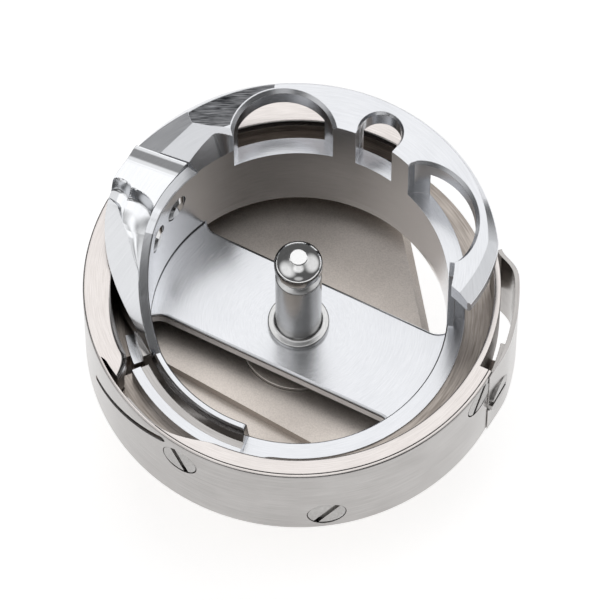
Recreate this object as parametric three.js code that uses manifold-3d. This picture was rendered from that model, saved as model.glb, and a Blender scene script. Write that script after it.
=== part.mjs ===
// Rotary hook of an industrial lockstitch sewing machine, with its bobbin-case holder.
// Millimetres, +Z up. The hook axis is Z and the free end of the hub is at Z = 0.
// Angles are in degrees, counterclockwise from +X as seen from above.
import * as THREE from 'three';
import { mergeVertices } from 'three/addons/utils/BufferGeometryUtils.js';
import Module from 'manifold-3d';

const wasm = await Module();
wasm.setup();

// ---- Driving dimensions ----
const FACETS = 72; // flat sides round a full turn
const SMALL_FACETS = 24; // on screws, pins and the stud
const WARPED_FACETS = 96; // where a height changes round the turn
const FIT_GAP = 0.03; // between pieces that are pressed or screwed together
const PROUD = 0.5; // how far a cutter stands past the face that it cuts

const LIP_Z = 19; // top face of the hook body
const BODY_R = 17;
const BODY_BOTTOM_Z = 10.1;
const FLOOR_TOP_Z = 9.6;
const FLOOR_BOTTOM_Z = 7.8;
const FLOOR_EDGE_R = 14.6;
const SHELL_INNER_R = 16.35; // inside of the outer wall, where the gib sits
const LIP_INNER_R = 16.7;
const LIP_DEPTH = 0.8;
const RACE_R = 15.8; // outer wall of the race groove
const RACE_LEDGE_Z = 12.85;
const RACE_ROOF_Z = 14.65;
const RACE_MOUTH_R = 15.4; // what keeps the rib in the race

const BLADE_INNER_R = 14.75;
const BLADE_UNDERSIDE_Z = 17;
const BLADE_START = 58;
const BLADE_END = 210;
const WALL_END = -27; // right end of the front wall
const LOW_WALL_END = -13; // its lower part runs on to here
const LOW_WALL_TOP_Z = 16;
const WALL_START = 203; // left end of the front wall

const GIB_START = 228;
const GIB_END = WALL_END;
const GIB_TAIL_END = 9;
const GIB_TAIL_OUTER_R = 15.95;

const HUB_R = 8;
const HUB_SPIGOT_R = 4.65;
const HUB_BORE_R = 7.94 / 2; // 5/16 inch shaft
const HUB_BORE_DEPTH = 8.3;
const HUB_TOP_Z = 9.85;

const SCREW_HEAD_R = 1.5;
const SCREW_SHANK_R = 0.85;
const SCREW_SLOT_WIDTH = 0.4;
const SCREW_SLOT_DEPTH = 0.3;

const CUP_INNER_R = 11.8;
const CUP_OUTER_R = 13.2;
const CUP_BOTTOM_Z = 11.4;
const CUP_FOOT_Z = 13.2; // the wall is relieved inside below here, except over the bar
const CUP_FOOT_R = 12.35;
const BAR_TOP_Z = 12.4;
const BAR_ANGLE = -27.5;
const BAR_LEFT = 4.2; // edges of the floor bar, measured across it from the axis
const BAR_RIGHT = -4.35;
const WINDOW_CORNER_R = 1.4;
const RIB_R = 15.7;
const RIB_BOTTOM_Z = 12.95;
const RIB_TOP_Z = 14.55;
const LOW_RIM_Z = 14.7;
const RAISED_WALL_Z = 16.6;
const LEFT_WALL_Z = 21.4;
const LEFT_WALL_R = 12.5; // outside of the wall where the guide finger lies against it
const RAISED_WALL_R = 12.35; // outside of the raised wall at its top
const RAISED_WALL_END = 250.8; // its right end, in degrees
const NOTCH_FLOOR_Z = LIP_Z;

const FLANGE_R = 15.7;
const FLANGE_LEFT_R = 16.45;
const FLANGE_BOTTOM_Z = 22.1;
const FLANGE_TOP_Z = 23.8;
const FLANGE_RIGHT_END = -21;
const FLANGE_LEFT_END = 144;

const STUD_COLLAR_R = 2.45;
const STUD_SHAFT_R = 1.83;
const STUD_GROOVE_R = 1.45;
const STUD_TOP_Z = 23.5;
const STUD_SEAT_DEPTH = 0.1; // the collar is let into the bar

const STEEL = { color: 0xb5b2b0, roughness: 0.25, metalness: 1 };
const BRIGHT_STEEL = { color: 0xd8dce0, roughness: 0.3, metalness: 1 };
const MATTE_STEEL = { color: 0xa5988e, roughness: 0.7, metalness: 0.8 };
const DARK_STEEL = { color: 0x8a8886, roughness: 0.3, metalness: 1 };

// ---- Geometry helpers ----
const radians = (degrees) => THREE.MathUtils.degToRad(degrees);
const polar = (radius, degrees) => {
  return new THREE.Vector2(radius * Math.cos(radians(degrees)), radius * Math.sin(radians(degrees)));
};
const smooth = (low, high, value) => THREE.MathUtils.smoothstep(value, low, high);
// 0 at the start of a stretch and 1 at its end, held at both ends.
const past = (start, end, value) => Math.min(1, Math.max(0, (value - start) / (end - start)));

// Turns a closed geometry into a solid that can be joined and cut.
function solid(geometry) {
  const bare = geometry.index ? geometry.toNonIndexed() : geometry;
  bare.deleteAttribute('normal');
  bare.deleteAttribute('uv');
  const merged = mergeVertices(bare, 1e-4);
  const corners = merged.index.array;
  const triangles = [];
  for (let i = 0; i < corners.length; i += 3) {
    const [a, b, c] = corners.slice(i, i + 3);
    if (a !== b && b !== c && c !== a) triangles.push(a, b, c);
  }
  const mesh = new wasm.Mesh({
    numProp: 3,
    vertProperties: new Float32Array(merged.attributes.position.array),
    triVerts: new Uint32Array(triangles),
  });
  return new wasm.Manifold(mesh);
}

// Turns a solid back into a geometry.
function geometryOf(body) {
  const mesh = body.getMesh();
  const geometry = new THREE.BufferGeometry();
  geometry.setAttribute('position', new THREE.BufferAttribute(mesh.vertProperties, 3));
  geometry.setIndex(new THREE.BufferAttribute(mesh.triVerts, 1));
  const flat = geometry.toNonIndexed();
  flat.computeVertexNormals();
  return flat;
}

// Revolves a profile of [radius, height] points, listed counterclockwise, about Z.
// shape(radius, degrees, height) may return a new [radius, height] for each corner.
function turned(profile, { closed = true, facets = FACETS, shape } = {}) {
  const points = profile.map(([radius, height]) => new THREE.Vector2(radius, height));
  if (closed) points.push(points[0].clone());
  const geometry = new THREE.LatheGeometry(points, facets);
  geometry.rotateX(Math.PI / 2);
  if (shape) {
    const position = geometry.attributes.position;
    for (let i = 0; i < position.count; i += 1) {
      const [x, y, z] = [position.getX(i), position.getY(i), position.getZ(i)];
      const degrees = (THREE.MathUtils.radToDeg(Math.atan2(y, x)) + 360) % 360;
      const [radius, height] = shape(Math.hypot(x, y), degrees, z);
      const point = polar(radius, degrees);
      position.setXYZ(i, point.x, point.y, height);
    }
  }
  return solid(geometry);
}

// A ring of rectangular section.
function ring(innerRadius, outerRadius, bottom, top, facets = FACETS) {
  const corners = [[innerRadius, bottom], [outerRadius, bottom], [outerRadius, top], [innerRadius, top]];
  return turned(corners, { facets });
}

// A solid disc about the Z axis.
function disc(radius, bottom, top, facets = FACETS) {
  return turned([[0, bottom], [radius, bottom], [radius, top], [0, top]], { closed: false, facets });
}

// An upright prism on a plan outline of Vector2 points or on a THREE.Shape.
function prism(outline, bottom, top, curveSegments = 24) {
  const shape = outline instanceof THREE.Shape ? outline : new THREE.Shape(outline);
  const geometry = new THREE.ExtrudeGeometry(shape, { depth: top - bottom, bevelEnabled: false, curveSegments });
  geometry.translate(0, 0, bottom);
  return solid(geometry);
}

// Outline of the area between two radii, over a stretch of angles. A radius is a number or a
// function of the angle in degrees.
function band(innerRadius, outerRadius, start, end, step = 3) {
  return [...arc(outerRadius, start, end, step), ...arc(innerRadius, start, end, step).reverse()];
}

// Points along an arc. The radius is a number or a function of the angle in degrees.
function arc(radius, start, end, step) {
  const count = Math.max(2, Math.round(Math.abs(end - start) / step));
  const angles = Array.from({ length: count + 1 }, (_, i) => start + ((end - start) * i) / count);
  return angles.map((angle) => polar(typeof radius === 'function' ? radius(angle) : radius, angle));
}

// Everything between two angles, as a wedge from the axis outwards.
function wedge(start, end, bottom = -PROUD, top = 30) {
  const reach = 30;
  return prism([new THREE.Vector2(0, 0), ...arc(reach, start, end, 15)], bottom, top);
}

// Moves a solid made about the Z axis so that its axis is radial and +Z points outwards.
function radial(body, radius, degrees, height) {
  return body.rotate([0, 90, 0]).translate([radius, 0, height]).rotate([0, 0, degrees]);
}

const group = new THREE.Group();

function add(name, body, finish) {
  const mesh = new THREE.Mesh(geometryOf(body), new THREE.MeshStandardMaterial(finish));
  mesh.name = name;
  group.add(mesh);
}

// ---- Screws in the outer wall ----
// turn is the slot's angle from the vertical; head is the radius of the head's outer face.
const GIB_SCREWS = [
  { name: 'gib_screw_1', angle: -123.2, height: 16.5, head: 16.98, turn: 25 },
  { name: 'gib_screw_2', angle: -82.5, height: 12.4, head: 16.98, turn: -35 },
  { name: 'gib_screw_3', angle: -33.5, height: 17.4, head: 16.98, turn: -30 },
];
const GUARD_SCREW = { name: 'guard_screw', angle: -24, height: 14, head: 17.38, turn: 70 };
const HEAD_DEPTH = 0.5;
const SHANK_DEPTH = 1.1;

function wallScrew({ angle, height, head, turn }) {
  const slot = solid(new THREE.BoxGeometry(SCREW_HEAD_R * 3, SCREW_SLOT_WIDTH, SCREW_SLOT_DEPTH * 2));
  const body = disc(SCREW_HEAD_R, -HEAD_DEPTH, 0, SMALL_FACETS)
    .add(disc(SCREW_SHANK_R, -SHANK_DEPTH, -HEAD_DEPTH / 2, SMALL_FACETS))
    .subtract(slot.rotate([0, 0, turn]));
  return radial(body, head, angle, height);
}

function screwHole({ angle, height, head }) {
  const body = disc(SCREW_HEAD_R + FIT_GAP, -HEAD_DEPTH - FIT_GAP, PROUD, SMALL_FACETS)
    .add(disc(SCREW_SHANK_R + FIT_GAP, -SHANK_DEPTH - FIT_GAP, 0, SMALL_FACETS));
  return radial(body, head, angle, height);
}

// ---- Hook body ----
const THREAD_SLIT = { start: 204, end: 231, startZ: 14.9, endZ: 18.3, width: 0.5 };
const GIB_TAB = { start: -92, end: -73, bottom: 10.7 };
const FLOOR_CHORD = [new THREE.Vector2(8.6, 11.5), new THREE.Vector2(10.9, -1.5)];
const FLOOR_STEP_OFFSET = 7.35; // from the axis, across the step in the floor
const FLOOR_STEP_ANGLE = -31.6;
const FLOOR_STEP_DEPTH = 0.9;

function frontWall() {
  const roundedLip = [[BODY_R, LIP_Z - 0.25], [BODY_R - 0.07, LIP_Z - 0.07], [LIP_INNER_R + 0.05, LIP_Z]];
  return turned([
    [HUB_SPIGOT_R + FIT_GAP, FLOOR_BOTTOM_Z],
    [FLOOR_EDGE_R, FLOOR_BOTTOM_Z],
    [BODY_R, BODY_BOTTOM_Z],
    ...roundedLip,
    [LIP_INNER_R, LIP_Z - LIP_DEPTH],
    [SHELL_INNER_R, LIP_Z - LIP_DEPTH],
    [SHELL_INNER_R, RACE_LEDGE_Z],
    [FLOOR_EDGE_R, RACE_LEDGE_Z],
    [FLOOR_EDGE_R, FLOOR_TOP_Z],
    [HUB_SPIGOT_R + FIT_GAP, FLOOR_TOP_Z],
  ]);
}

// The blade with the hook point: it roofs the race from the right of the back round to the left.
function hookBlade() {
  const outer = BODY_R - 0.1;
  const section = turned([
    [RACE_R, RACE_LEDGE_Z - 0.1],
    [outer, RACE_LEDGE_Z - 0.1],
    [outer, LIP_Z],
    [BLADE_INNER_R, LIP_Z],
    [BLADE_INNER_R, BLADE_UNDERSIDE_Z],
    [RACE_MOUTH_R, BLADE_UNDERSIDE_Z],
    [RACE_MOUTH_R, RACE_ROOF_Z],
    [RACE_R, RACE_ROOF_Z],
  ]);
  // The point narrows from both sides over its last few degrees.
  const [narrowInside, narrowOutside, pointOuterR] = [202, 200, 16.5];
  const innerEdge = (angle) => BLADE_INNER_R - 0.01 + 1.45 * past(narrowInside, BLADE_END, angle) ** 1.3;
  const outerEdge = (angle) => {
    return BODY_R - (BODY_R - pointOuterR) * smooth(narrowOutside, 204, angle) - 0.15 * past(204, BLADE_END, angle);
  };
  const plan = prism(band(innerEdge, outerEdge, BLADE_START, BLADE_END, 1), RACE_LEDGE_Z - 1, LIP_Z + PROUD);
  return section.intersect(plan);
}

// An oblique slit in the left of the wall, rising to the right, that the thread slips through.
function threadSlit() {
  const { start, end, startZ, endZ, width } = THREAD_SLIT;
  const lift = (angle) => startZ + ((endZ - startZ) * (angle - start)) / (end - start);
  const shape = (radius, degrees, height) => [radius, height + lift(degrees)];
  const section = [[15, -width / 2], [18, -width / 2], [18, width / 2], [15, width / 2]];
  return turned(section, { shape }).intersect(wedge(start - 4, end));
}

function rightOpening() {
  const reach = 20;
  const beyondChord = prism(
    [FLOOR_CHORD[1], new THREE.Vector2(reach, -1.5), new THREE.Vector2(reach, 11.5), FLOOR_CHORD[0]],
    FLOOR_BOTTOM_Z - PROUD,
    LIP_Z + PROUD,
  );
  const wallGap = prism(band(FLOOR_EDGE_R - PROUD, reach, WALL_END, BLADE_START), LOW_WALL_TOP_Z, LIP_Z + PROUD);
  const lowGap = prism(
    band(FLOOR_EDGE_R - 0.6, reach, LOW_WALL_END, BLADE_START),
    FLOOR_BOTTOM_Z - PROUD,
    LIP_Z + PROUD,
  );
  return beyondChord.add(wallGap).add(lowGap);
}

function floorStep() {
  const reach = 20;
  const lower = solid(new THREE.BoxGeometry(2 * reach, reach, reach))
    .translate([0, -FLOOR_STEP_OFFSET - reach / 2, FLOOR_TOP_Z - FLOOR_STEP_DEPTH + reach / 2])
    .rotate([0, 0, FLOOR_STEP_ANGLE]);
  return lower.intersect(disc(FLOOR_EDGE_R - 0.1, FLOOR_BOTTOM_Z, RACE_LEDGE_Z));
}

function leftGap() {
  // Between the hook point and the start of the front wall, down to the race ledge. The wall starts
  // thin beside the point and takes its full thickness a little further on.
  const thinR = 16.72;
  const wallInnerR = (angle) => thinR - (thinR - SHELL_INNER_R) * smooth(WALL_START + 9, WALL_START + 14, angle);
  return prism(band(15, wallInnerR, WALL_START - 1, GIB_START), RACE_LEDGE_Z, LIP_Z + PROUD);
}

const gibTabPocket = (grow) => prism(
  band(RACE_R - grow, SHELL_INNER_R, GIB_TAB.start - grow, GIB_TAB.end + grow),
  GIB_TAB.bottom - grow,
  RACE_LEDGE_Z + 0.2,
);

let hookBody = frontWall()
  .subtract(leftGap())
  .add(hookBlade())
  .subtract(threadSlit())
  .subtract(rightOpening())
  .subtract(floorStep())
  .subtract(gibTabPocket(FIT_GAP));
for (const screw of [...GIB_SCREWS, GUARD_SCREW]) {
  hookBody = hookBody.subtract(screwHole(screw));
}

// ---- Hub, its two set screws ----
const SET_SCREW_R = 1.9;
const SET_SCREW_Z = 3.6;
const SET_SCREW_ANGLES = [-60, 40];

function hub() {
  let body = turned([
    [0, HUB_BORE_DEPTH],
    [HUB_BORE_R, HUB_BORE_DEPTH],
    [HUB_BORE_R, 0],
    [HUB_R - 0.5, 0],
    [HUB_R, 0.5],
    [HUB_R, FLOOR_BOTTOM_Z - FIT_GAP],
    [HUB_SPIGOT_R, FLOOR_BOTTOM_Z - FIT_GAP],
    [HUB_SPIGOT_R, HUB_TOP_Z - 0.1],
    [HUB_SPIGOT_R - 0.1, HUB_TOP_Z],
    [0, HUB_TOP_Z],
  ], { closed: false });
  for (const angle of SET_SCREW_ANGLES) {
    const hole = disc(SET_SCREW_R + FIT_GAP, -HUB_R, PROUD, SMALL_FACETS).intersect(
      disc(SET_SCREW_R + 1, -(HUB_R - HUB_BORE_R + PROUD), PROUD, SMALL_FACETS),
    );
    body = body.subtract(radial(hole, HUB_R, angle, SET_SCREW_Z));
  }
  return body;
}

function setScrew(angle) {
  const length = 3.3;
  const slot = solid(new THREE.BoxGeometry(SET_SCREW_R * 3, 0.6, 1.4));
  const body = disc(SET_SCREW_R, -length, 0, SMALL_FACETS).subtract(slot);
  return radial(body, HUB_R - 0.4, angle, SET_SCREW_Z);
}

// ---- Gib: the ring that closes the race ----
function gib() {
  const body = turned([
    [RACE_R, RACE_LEDGE_Z + FIT_GAP],
    [SHELL_INNER_R - FIT_GAP, RACE_LEDGE_Z + FIT_GAP],
    [SHELL_INNER_R - FIT_GAP, LIP_Z - LIP_DEPTH + FIT_GAP],
    [LIP_INNER_R - FIT_GAP, LIP_Z - LIP_DEPTH + FIT_GAP],
    [LIP_INNER_R - FIT_GAP, LIP_Z],
    [RACE_MOUTH_R + 0.2, LIP_Z],
    [RACE_MOUTH_R, LIP_Z - 0.2],
    [RACE_MOUTH_R, RACE_ROOF_Z],
    [RACE_R, RACE_ROOF_Z],
  ]);
  const firstEdge = (angle) => RACE_MOUTH_R + 0.8 * (1 - smooth(GIB_START, GIB_START + 14, angle));
  const plan = prism(band((angle) => firstEdge(angle) - 0.01, BODY_R, GIB_START, GIB_END + 360), 10, LIP_Z + 1);
  const tail = ring(RACE_MOUTH_R, GIB_TAIL_OUTER_R, RACE_ROOF_Z, LIP_Z)
    .intersect(wedge(GIB_END - 1, GIB_TAIL_END));
  const tab = prism(
    band(RACE_R + FIT_GAP, SHELL_INNER_R - FIT_GAP, GIB_TAB.start, GIB_TAB.end),
    GIB_TAB.bottom,
    RACE_LEDGE_Z + 0.3,
  );
  let whole = body.intersect(plan).add(tail).add(tab);
  for (const screw of GIB_SCREWS) {
    whole = whole.subtract(screwHole(screw));
  }
  return whole;
}

// ---- Needle guard: thin curved plate outside the right of the wall ----
const GUARD_START = -29;
const GUARD_END = 11;
const GUARD_INNER_R = 17.03;
const GUARD_OUTER_R = 17.4;

function needleGuard() {
  const turnIn = (angle) => 1.05 * smooth(0, GUARD_END, angle) ** 2;
  const feather = (angle) => (GUARD_OUTER_R - BODY_R - 0.1) * (1 - smooth(GUARD_START, GUARD_START + 12, angle));
  const inner = (angle) => GUARD_INNER_R - turnIn(angle);
  const outer = (angle) => GUARD_OUTER_R - turnIn(angle) - feather(angle);
  return prism(band(inner, outer, GUARD_START, GUARD_END, 1), BODY_BOTTOM_Z, LIP_Z).subtract(screwHole(GUARD_SCREW));
}

// ---- Bobbin-case holder ----
// Height of the blade's top at its inner or its outer edge.
function bladeTop(edge, degrees) {
  const along = past(BLADE_TOP_START, FINGER.end + 1, degrees);
  return BLADE_TOP_Z - (BLADE_TOP_Z - RAISED_WALL_Z) * (edge === 'inner' ? along ** 1.4 : along);
}

// Top of the cup wall as it rises and falls round the cup.
function wallTop(degrees) {
  if (degrees > 348) return LOW_RIM_Z + (FLANGE_BOTTOM_Z + 0.2 - LOW_RIM_Z) * smooth(348, 352, degrees);
  if (degrees > 230) return LOW_RIM_Z + (RAISED_WALL_Z - LOW_RIM_Z) * (1 - smooth(250, 251.5, degrees));
  if (degrees > 150) return bladeTop('inner', degrees);
  return degrees < 114 ? FLANGE_TOP_Z - 0.6 : LEFT_WALL_Z;
}

function cupWall() {
  const top = FLANGE_TOP_Z;
  const section = [
    [CUP_FOOT_R, CUP_BOTTOM_Z],
    [CUP_OUTER_R, CUP_BOTTOM_Z],
    [CUP_OUTER_R, top],
    [CUP_INNER_R, top],
    [CUP_INNER_R, CUP_FOOT_Z],
    [CUP_FOOT_R, BAR_TOP_Z],
  ];
  const shape = (radius, degrees, height) => [radius, height < top - 1 ? height : wallTop(degrees)];
  // The wall is thinner behind the guide finger, and its raised front-left part has a sloping outside.
  const reliefBottom = FINGER_TAB_BOTTOM_Z - FIT_GAP;
  const fingerRelief = ring(LEFT_WALL_R, CUP_OUTER_R + PROUD, reliefBottom, top, WARPED_FACETS)
    .intersect(wedge(130, FINGER.end + 0.1));
  const slope = turned([
    [CUP_OUTER_R, RAISED_WALL_Z - 1.1],
    [CUP_OUTER_R + PROUD, RAISED_WALL_Z - 1.1],
    [CUP_OUTER_R + PROUD, RAISED_WALL_Z + PROUD],
    [RAISED_WALL_R, RAISED_WALL_Z + PROUD],
    [RAISED_WALL_R, RAISED_WALL_Z - 0.1],
  ], { facets: WARPED_FACETS }).intersect(wedge(FINGER.end - 1, RAISED_WALL_END));
  return turned(section, { facets: WARPED_FACETS, shape }).subtract(fingerRelief).subtract(slope);
}

// Plan of the strap across the cup that carries the stud. Each corner of its windows is an arc that
// touches the strap's edge and the cup wall.
function barOutline(reach) {
  const corner = (side, sign) => {
    const centreY = Math.abs(side) + WINDOW_CORNER_R;
    const centreX = Math.sqrt((reach - WINDOW_CORNER_R) ** 2 - centreY ** 2);
    const slope = THREE.MathUtils.radToDeg(Math.atan2(centreY, centreX));
    return arc(WINDOW_CORNER_R, slope, -90, 15).map((point) => {
      return new THREE.Vector2(sign * (centreX + point.x), Math.sign(side) * (centreY + point.y));
    });
  };
  const towards = (point) => THREE.MathUtils.radToDeg(Math.atan2(point.y, point.x));
  const [rightFront, rightBack] = [corner(BAR_RIGHT, 1), corner(BAR_LEFT, 1)];
  const [leftFront, leftBack] = [corner(BAR_RIGHT, -1), corner(BAR_LEFT, -1)];
  const rightEnd = arc(reach, towards(rightFront[0]), towards(rightBack[0]), 5).slice(1, -1);
  const leftEnd = arc(reach, towards(leftBack[0]), towards(leftFront[0]) + 360, 5).slice(1, -1);
  return [
    ...leftFront,
    ...rightFront.reverse(),
    ...rightEnd,
    ...rightBack,
    ...leftBack.reverse(),
    ...leftEnd,
  ];
}

function floorBar() {
  const outline = barOutline(CUP_FOOT_R + 0.2);
  const strap = prism(outline, CUP_BOTTOM_Z, BAR_TOP_Z);
  const ends = prism(outline, CUP_BOTTOM_Z, CUP_FOOT_Z)
    .intersect(ring(CUP_INNER_R, CUP_OUTER_R, CUP_BOTTOM_Z, CUP_FOOT_Z));
  const seat = disc(STUD_COLLAR_R + FIT_GAP, BAR_TOP_Z - STUD_SEAT_DEPTH, BAR_TOP_Z + PROUD, SMALL_FACETS);
  return strap.add(ends).subtract(seat).rotate([0, 0, BAR_ANGLE]);
}

// The raised front-left wall carries a stepped shoulder that tapers off to the right.
function shoulder() {
  const [start, end] = [204.5, 262];
  const [top, step, stepR, outer] = [15.85, 0.2, 13.65, 14.4];
  const outerEdge = (angle) => outer - (outer - CUP_OUTER_R) * smooth(246, end, angle);
  const innerR = CUP_OUTER_R - 0.2;
  return prism(band(innerR, outerEdge, start, end), RIB_BOTTOM_Z, top)
    .subtract(ring(innerR - 0.1, stepR, top - step, top + PROUD))
    .subtract(prism(band(CUP_OUTER_R - 1, RACE_R, RAISED_WALL_END, end + 2), LOW_RIM_Z, FLANGE_TOP_Z));
}

// The race rib has one break, where the shoulder starts.
function raceRib() {
  return ring(CUP_OUTER_R - 0.3, RIB_R, RIB_BOTTOM_Z, RIB_TOP_Z).subtract(wedge(197, 203));
}

// The flange: flat on top, with a narrow bevel on the right and a wide conical one on the left.
function flange() {
  const leftness = (degrees) => (degrees < 200 ? smooth(80, 115, degrees) : 0);
  const [bevel, wideBevel, leftFlatR] = [0.3, 1.3, 15.55];
  const shape = (radius, degrees, height) => {
    const left = leftness(degrees);
    if (radius < FLANGE_R - bevel - 0.01) return [radius, height];
    if (height > FLANGE_TOP_Z - 0.01) return [radius + left * (leftFlatR - radius), height];
    const drop = height > FLANGE_BOTTOM_Z + 0.1 ? left * (wideBevel - bevel) : 0;
    return [radius + left * (FLANGE_LEFT_R - FLANGE_R), height - drop];
  };
  const body = turned([
    [CUP_INNER_R, FLANGE_BOTTOM_Z],
    [FLANGE_R, FLANGE_BOTTOM_Z],
    [FLANGE_R, FLANGE_TOP_Z - bevel],
    [FLANGE_R - bevel, FLANGE_TOP_Z],
    [CUP_INNER_R, FLANGE_TOP_Z],
  ], { shape });
  // Over the raised left part of the cup wall the flange is thicker.
  const root = ring(CUP_INNER_R, CUP_OUTER_R + PROUD, LEFT_WALL_Z - 0.5, FLANGE_BOTTOM_Z + 0.1)
    .intersect(wedge(112, FLANGE_LEFT_END));
  // Plan of the right end: the outer edge curves in from 5 degrees and the inner edge is cut
  // across from -12 degrees, so that they meet in a blunt tip.
  const [curveStart, cutStart] = [5, -12];
  const outer = (angle) => {
    if (angle > curveStart) return FLANGE_LEFT_R + 1;
    return FLANGE_R + 0.05 - 1.75 * past(curveStart, FLANGE_RIGHT_END, angle) ** 1.2;
  };
  const inner = (angle) => {
    return angle > cutStart ? CUP_INNER_R - 0.3 : CUP_INNER_R + 0.3 + 1.6 * past(cutStart, FLANGE_RIGHT_END, angle);
  };
  const plan = band(inner, outer, FLANGE_RIGHT_END, FLANGE_LEFT_END, 2);
  const [frontCut, leftCut] = roofCuts();
  return body.add(root)
    .intersect(prism(plan, LEFT_WALL_Z - 1, FLANGE_TOP_Z + 1))
    .subtract(frontCut)
    .subtract(leftCut)
    .subtract(innerBevel())
    .subtract(leftOfStep(0));
}

// The left end of the flange is ground to a low roof: two planes that fall to the left and the front.
function roofCuts() {
  const plane = (x, y, z, fallX, fallY) => {
    const slab = solid(new THREE.BoxGeometry(12, 12, 4)).translate([0, 0, 2]);
    return slab.rotate([fallY, -fallX, 0]).translate([x, y, z]);
  };
  const front = plane(-8.64, 11.89, FLANGE_TOP_Z, 3.4, 21);
  const left = plane(-10.92, 9.64, FLANGE_TOP_Z - 1, 16.3, 6.2);
  const leftOfNotch = prism(band(CUP_INNER_R - 1, BODY_R + 1, 113, 160), LEFT_WALL_Z, FLANGE_TOP_Z + 4);
  return [front, left].map((cut) => cut.intersect(leftOfNotch));
}

// A steep conical bevel leads from the roof down to the inside of the cup wall.
function innerBevel() {
  const slope = 0.5;
  return turned([
    [CUP_INNER_R - 1, LEFT_WALL_Z],
    [CUP_INNER_R, LEFT_WALL_Z],
    [CUP_INNER_R + slope * 3, LEFT_WALL_Z + 3],
    [CUP_INNER_R - 1, LEFT_WALL_Z + 3],
  ]).intersect(wedge(117, 150));
}

// Everything past the straight step between the flange and the guide finger.
function leftOfStep(gap) {
  const [offset, tilt, reach] = [5.66, -18.9, 40];
  return solid(new THREE.BoxGeometry(reach, reach, reach))
    .translate([-reach / 2 - 2, offset - gap - reach / 2, LIP_Z])
    .rotate([0, 0, tilt]);
}

// Plan outlines of the three notches, cut down to the wall top beneath the flange.
const NOTCH_1 = { x: -1.16, y: 10.74, radius: 3.96 };
const NOTCH_2 = { x: 6.47, y: 11.05, radius: 1.7, neckStart: 51.5, neckEnd: 67.5 };
const NOTCH_3 = { start: -3, end: 43, depth: 2.65 };

function notches() {
  const cut = (outline) => prism(outline, NOTCH_FLOOR_Z, FLANGE_TOP_Z + PROUD, 24);
  const circle = ({ x, y, radius }) => new THREE.Shape().absarc(x, y, radius, 0, 2 * Math.PI);
  const inside = CUP_INNER_R - PROUD;
  const neck = band(inside, 12.6, NOTCH_2.neckStart, NOTCH_2.neckEnd);
  const bulge = (angle) => {
    const along = (angle - NOTCH_3.start) / (NOTCH_3.end - NOTCH_3.start);
    return CUP_INNER_R + NOTCH_3.depth * Math.sin(Math.PI * Math.min(1, Math.max(0, along))) ** 0.6;
  };
  const crescent = band(inside, bulge, NOTCH_3.start, NOTCH_3.end, 2);
  return cut(circle(NOTCH_1)).add(cut(circle(NOTCH_2))).add(cut(neck)).add(cut(crescent));
}

// ---- Guide finger: the stepped and scooped piece past the left end of the flange ----
// It starts with a flat facet, drops over a scoop and ends in a long blade that dies into the wall.
const FINGER = { start: 134, facetEnd: 152, scoopEnd: 156, end: 203 };
const FINGER_INNER_R = LEFT_WALL_R + FIT_GAP;
const FINGER_TAB_R = 14.5; // the tab behind the wall takes the rivets and clears the blade
const FINGER_TAB_BOTTOM_Z = 16.2;
const FINGER_FACET = { inner: 22, outer: 22.45 };
const BLADE_TOP_START = 157; // where the long blade starts, at the height of BLADE_TOP_Z
const BLADE_TOP_Z = 21.4;

function fingerTop(edge, degrees) {
  const drop = smooth(FINGER.facetEnd, FINGER.scoopEnd, degrees);
  return FINGER_FACET[edge] + (bladeTop(edge, degrees) - FINGER_FACET[edge]) * drop;
}

function guideFinger() {
  // Corners of the section: the tab, the shelf that stands out over the hook, and the top.
  const corners = { tabIn: 13, tabOut: 14, shelfIn: 15, shelfOut: 16, topOut: 17, topIn: 18 };
  const tipR = 12.6;
  const shape = (radius, degrees) => {
    const outer = tipR + (FLANGE_LEFT_R - tipR) * (1 - smooth(150, 208, degrees));
    const tab = Math.min(FINGER_TAB_R, outer - 0.03);
    const topOut = fingerTop('outer', degrees);
    const shelf = Math.min(LIP_Z + 0.2, topOut - 0.35);
    const bottom = Math.min(FINGER_TAB_BOTTOM_Z, fingerTop('inner', degrees) - 0.4);
    return {
      [corners.tabIn]: [FINGER_INNER_R, bottom],
      [corners.tabOut]: [tab, bottom],
      [corners.shelfIn]: [tab, shelf],
      [corners.shelfOut]: [outer, Math.max(shelf, topOut - 1.4)],
      [corners.topOut]: [outer, topOut],
      [corners.topIn]: [FINGER_INNER_R, fingerTop('inner', degrees)],
    }[Math.round(radius)];
  };
  const section = Object.values(corners).map((radius, i) => [radius, i]);
  return turned(section, { facets: WARPED_FACETS, shape })
    .intersect(wedge(FINGER.start, FINGER.end))
    .intersect(leftOfStep(FIT_GAP));
}

const RIVETS = [
  { name: 'guide_rivet_1', angle: 145 },
  { name: 'guide_rivet_2', angle: 160 },
];
const RIVET_Z = LIP_Z;
const RIVET_R = 0.85;
const RIVET_HEAD_R = 1.1;

// Rivet made from its inner end outwards; grow makes the matching hole.
function rivet({ angle }, grow = 0) {
  const [headStart, headEnd, shankEnd] = [CUP_INNER_R - 0.08, CUP_INNER_R + 0.35, FINGER_TAB_R - 0.3];
  const body = disc(RIVET_HEAD_R + grow, headStart - (grow ? PROUD : 0), headEnd + grow, SMALL_FACETS)
    .add(disc(RIVET_R + grow, headEnd - 0.1, shankEnd + grow, SMALL_FACETS));
  return radial(body, 0, angle, RIVET_Z);
}

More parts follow.
